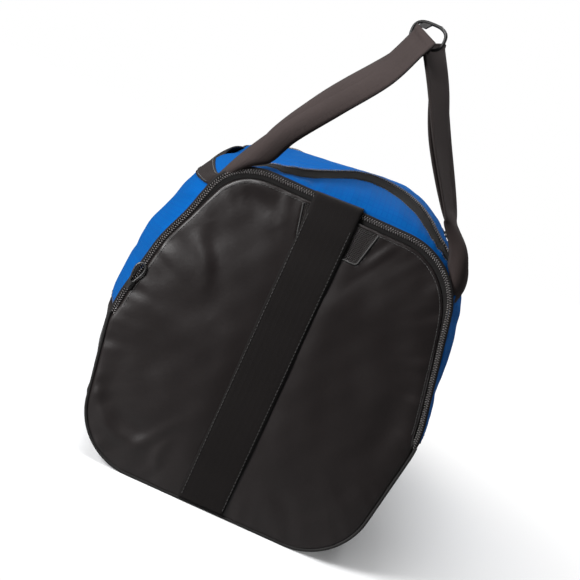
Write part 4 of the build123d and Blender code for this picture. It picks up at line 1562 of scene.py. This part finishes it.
def handle_half(side, word, end, which):
    facing = math.radians(35.0)
    reach_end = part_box(f"{word}_handle_grip")[1].y / MM
    out = np.array([side * math.cos(facing), 0, math.sin(facing)])
    across = np.array([-side * math.sin(facing), 0, math.cos(facing)])
    s_mid = float(s_shoulder(side))
    y = np.concatenate([np.linspace(TUBE_END - 1.5, 150.0, 60), np.linspace(146.0, 0.0, 44)]) * end
    on = skin(np.full(y.shape, s_mid), y)
    up = skin_out(np.full(y.shape, s_mid), y)
    base = on + up * 1.0
    shoulder = np.array([side * SHOULDER[0], 0, SHOULDER[1]])
    rise = 3.0 + 5.0 * np.clip(1 - (np.abs(y) / reach_end) ** 2, 0, 1)
    arch = shoulder[None, :] + out[None, :] * (rise - 0.9)[:, None] + np.stack([0 * y, y, 0 * y], 1)
    share = smooth(SEWN_FROM, LIFTED_FROM, np.abs(y))[:, None]
    centre = base * (1 - share) + arch * share
    tilt = unit(up * (1 - share) + out[None, :] * share)
    width = unit(np.cross(tilt, unit(np.gradient(centre, axis=0))))
    columns = np.linspace(-12.5, 12.5, 9)
    dished = 0.9 * (columns / 12.5) ** 2
    points = centre[:, None, :] + width[:, None, :] * columns[None, :, None]
    points = points - tilt[:, None, :] * dished[None, :, None] * (0.4 + share[:, :, None])
    sewn = (1 - share)[:, :, None]
    s_off = s_mid + columns[None, :] * 1.0 * np.sign(np.sum(width * across, 1))[:, None] * -side
    flat = on_skin(s_off, np.broadcast_to(y[:, None], s_off.shape), 1.0 + 0 * s_off)
    points = (flat * sewn + points * (1 - sewn)).reshape(-1, 3)
    uv = np.stack(np.broadcast_arrays(columns[None, :], run_of(centre)[:, None]), -1).reshape(-1, 2)
    name = f"{word}_handle_{which}"
    obj = new_object(name, points, grid_faces(len(y), len(columns)), (HANDLE_WEBBING,), uv)
    if np.mean([p.normal.dot(out) for p in obj.data.polygons]) < 0:
        obj.data.flip_normals()
    solid(obj, 1.7)
    declare_sheet(obj)
    if which == "near":
        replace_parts(obj, f"{word}_handle_webbing", f"{word}_handle_grip")
    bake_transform(obj)
    for letter, offset in (("a", -9.8), ("b", 9.8)):
        rows_y = np.arange(156.0, TUBE_END - 4, 2.0) * end
        s_row = np.full(rows_y.shape, s_mid + offset)
        line = on_skin(s_row, rows_y, 1.15 + 0 * rows_y)
        row = stitches(f"{name}_stitches_{letter}", line, skin_out(s_row, rows_y), (THREAD,), pitch=3.4)
        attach(row, "bag")


def handles():
    for side, word in ((-1, "left"), (1, "right")):
        handle_half(side, word, -1, "near")
        handle_half(side, word, 1, "far")


def s_shoulder(side):
    """s of the handle's middle line on the shoulder."""
    return s_at(SHOULDER[0], 0.0, 0, side)[0]


# ---------------------------------------------------------------- sliders and pulls


def hardware():
    for name in ("main_slider_near", "main_pull_near", "main_slider_far", "main_pull_far", "end_slider"):
        node = frame["nodes"][name]
        node.data.materials.clear()
        node.data.materials.append(METAL)
    node = frame["nodes"]["end_ring_pull"]
    centre = np.mean([np.array(v.co) for v in node.data.vertices], axis=0) / MM
    joint = [j for j in frame["joints"] if j["name"] == "end_pull_hinge"][0]
    root = np.array(joint["pos_m"]) / MM
    way = unit((centre - root) * np.array([1, 0, 1]))
    side = np.array([way[2], 0, -way[0]])
    end_length = 25.5
    loop = []
    for t in np.linspace(0, 2 * math.pi, 40, endpoint=False):
        far = 0.5 - 0.5 * math.cos(t)
        bulge = math.sin(t) * (1.9 + 5.6 * far**1.3)
        sag = np.array([0, -0.5 * math.sin(math.pi * far), 0])
        loop.append(root + way * (far * end_length - 0.4) + side * bulge + sag)
    ring = tube("end_pull_loop", loop, 1.15, (METAL,), closed=True)
    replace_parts(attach(ring, "end_pull"), "end_ring_pull")


# ---------------------------------------------------------------- stage, light and camera


def stage():
    g = Graph("floor")
    shown = g.node("ShaderNodeLightPath").outputs["Is Camera Ray"]
    colour = g.mix(shown, (0.4, 0.4, 0.4, 1), (0.97, 0.975, 0.985, 1))
    g.set(base=colour, rough=g.math("ADD", 0.55, g.math("MULTIPLY", g.noise(g.place(), 3.0), 0.1)))
    away = g.node("ShaderNodeVectorMath", operation="LENGTH")
    g.put(away.inputs[0], g.place())
    share = g.node("ShaderNodeMapRange", interpolation_type="SMOOTHSTEP")
    g.put(share.inputs["Value"], away.outputs["Value"])
    share.inputs["From Min"].default_value = 0.22
    share.inputs["From Max"].default_value = 0.62
    glow = g.node("ShaderNodeEmission")
    path = g.node("ShaderNodeLightPath")
    g.put(glow.inputs["Strength"], g.math("ADD", 0.15, g.math("MULTIPLY", path.outputs["Is Camera Ray"], 0.9)))
    both = g.node("ShaderNodeMixShader")
    g.put(both.inputs[0], share.outputs["Result"])
    g.put(both.inputs[1], g.shader.outputs[0])
    g.put(both.inputs[2], glow.outputs[0])
    g.put(g.tree.nodes["Material Output"].inputs[0], both.outputs[0])
    size = 4000.0
    floor = new_object("floor", [(-size, -size, 0), (size, -size, 0), (size, size, 0), (-size, size, 0)], [(0, 1, 2, 3)], (g.material,))
    world = bpy.data.worlds.new("studio")
    world.use_nodes = True
    tree = world.node_tree
    seen = tree.nodes["Background"]
    seen.inputs[0].default_value = (1, 1, 1, 1)
    seen.inputs[1].default_value = 1.0
    dim = tree.nodes.new("ShaderNodeBackground")
    dim.inputs[0].default_value = (0.93, 0.96, 1, 1)
    dim.inputs[1].default_value = 0.08
    path = tree.nodes.new("ShaderNodeLightPath")
    both = tree.nodes.new("ShaderNodeMixShader")
    tree.links.new(path.outputs["Is Camera Ray"], both.inputs[0])
    tree.links.new(dim.outputs[0], both.inputs[1])
    tree.links.new(seen.outputs[0], both.inputs[2])
    tree.links.new(both.outputs[0], tree.nodes["World Output"].inputs[0])
    bpy.context.scene.world = world


def lamp(name, place, target, size, power, colour=(1, 1, 1)):
    data = bpy.data.lights.new(name, "AREA")
    data.shape = "RECTANGLE"
    data.size, data.size_y = size
    data.energy = power
    data.color = colour
    obj = bpy.data.objects.new(name, data)
    bpy.context.scene.collection.objects.link(obj)
    obj.location = place
    way = np.array(target, float) - np.array(place, float)
    obj.rotation_euler = Vector(way).to_track_quat("-Z", "Y").to_euler()
    return obj


def lights():
    lamp("key", (-1.3, -1.35, 0.95), (-0.05, -0.28, 0.25), (0.7, 1.0), 58)
    lamp("top_back", (0.35, 0.75, 1.7), (0, -0.1, 0.3), (1.3, 1.0), 17)
    lamp("top_front", (-0.5, -0.65, 1.9), (0, -0.1, 0.3), (0.9, 0.9), 21)
    lamp("right_rim", (1.6, -0.2, 0.5), (0.1, -0.2, 0.25), (0.3, 1.0), 3)


def camera():
    """At the photograph's viewing angle: almost square on to the near end, from a little above, rolled over."""
    azimuth, elevation, roll = math.radians(-0.395), math.radians(9.04), math.radians(24.44)
    aim = np.array([-0.0127, -0.300, 0.2422])
    distance = 1.3377
    level = math.cos(elevation)
    back = np.array([math.sin(azimuth) * level, -math.cos(azimuth) * level, math.sin(elevation)])
    right = unit(np.cross(-back, [0, 0, 1]))
    up = np.cross(right, -back)
    image_right = math.cos(roll) * right + math.sin(roll) * up
    image_up = -math.sin(roll) * right + math.cos(roll) * up
    turn = Matrix([[image_right[k], image_up[k], back[k]] for k in range(3)])
    data = bpy.data.cameras.new("camera")
    data.lens = 84.25
    data.sensor_width = 36.0
    data.clip_end = 50.0
    obj = bpy.data.objects.new("camera", data)
    bpy.context.scene.collection.objects.link(obj)
    obj.matrix_world = Matrix.Translation((aim + back * distance).tolist()) @ turn.to_4x4()
    bpy.context.scene.camera = obj


long_walls()
main_opening()
end_panel_cloth()
end_zip()
near_piping_cord()
end_webbing_strip()
vent()
far_end()
inside()
shoulder_strap()
buckle()
handles()
hardware()
stage()
lights()
camera()

bpy.context.scene.view_settings.view_transform = "Standard"
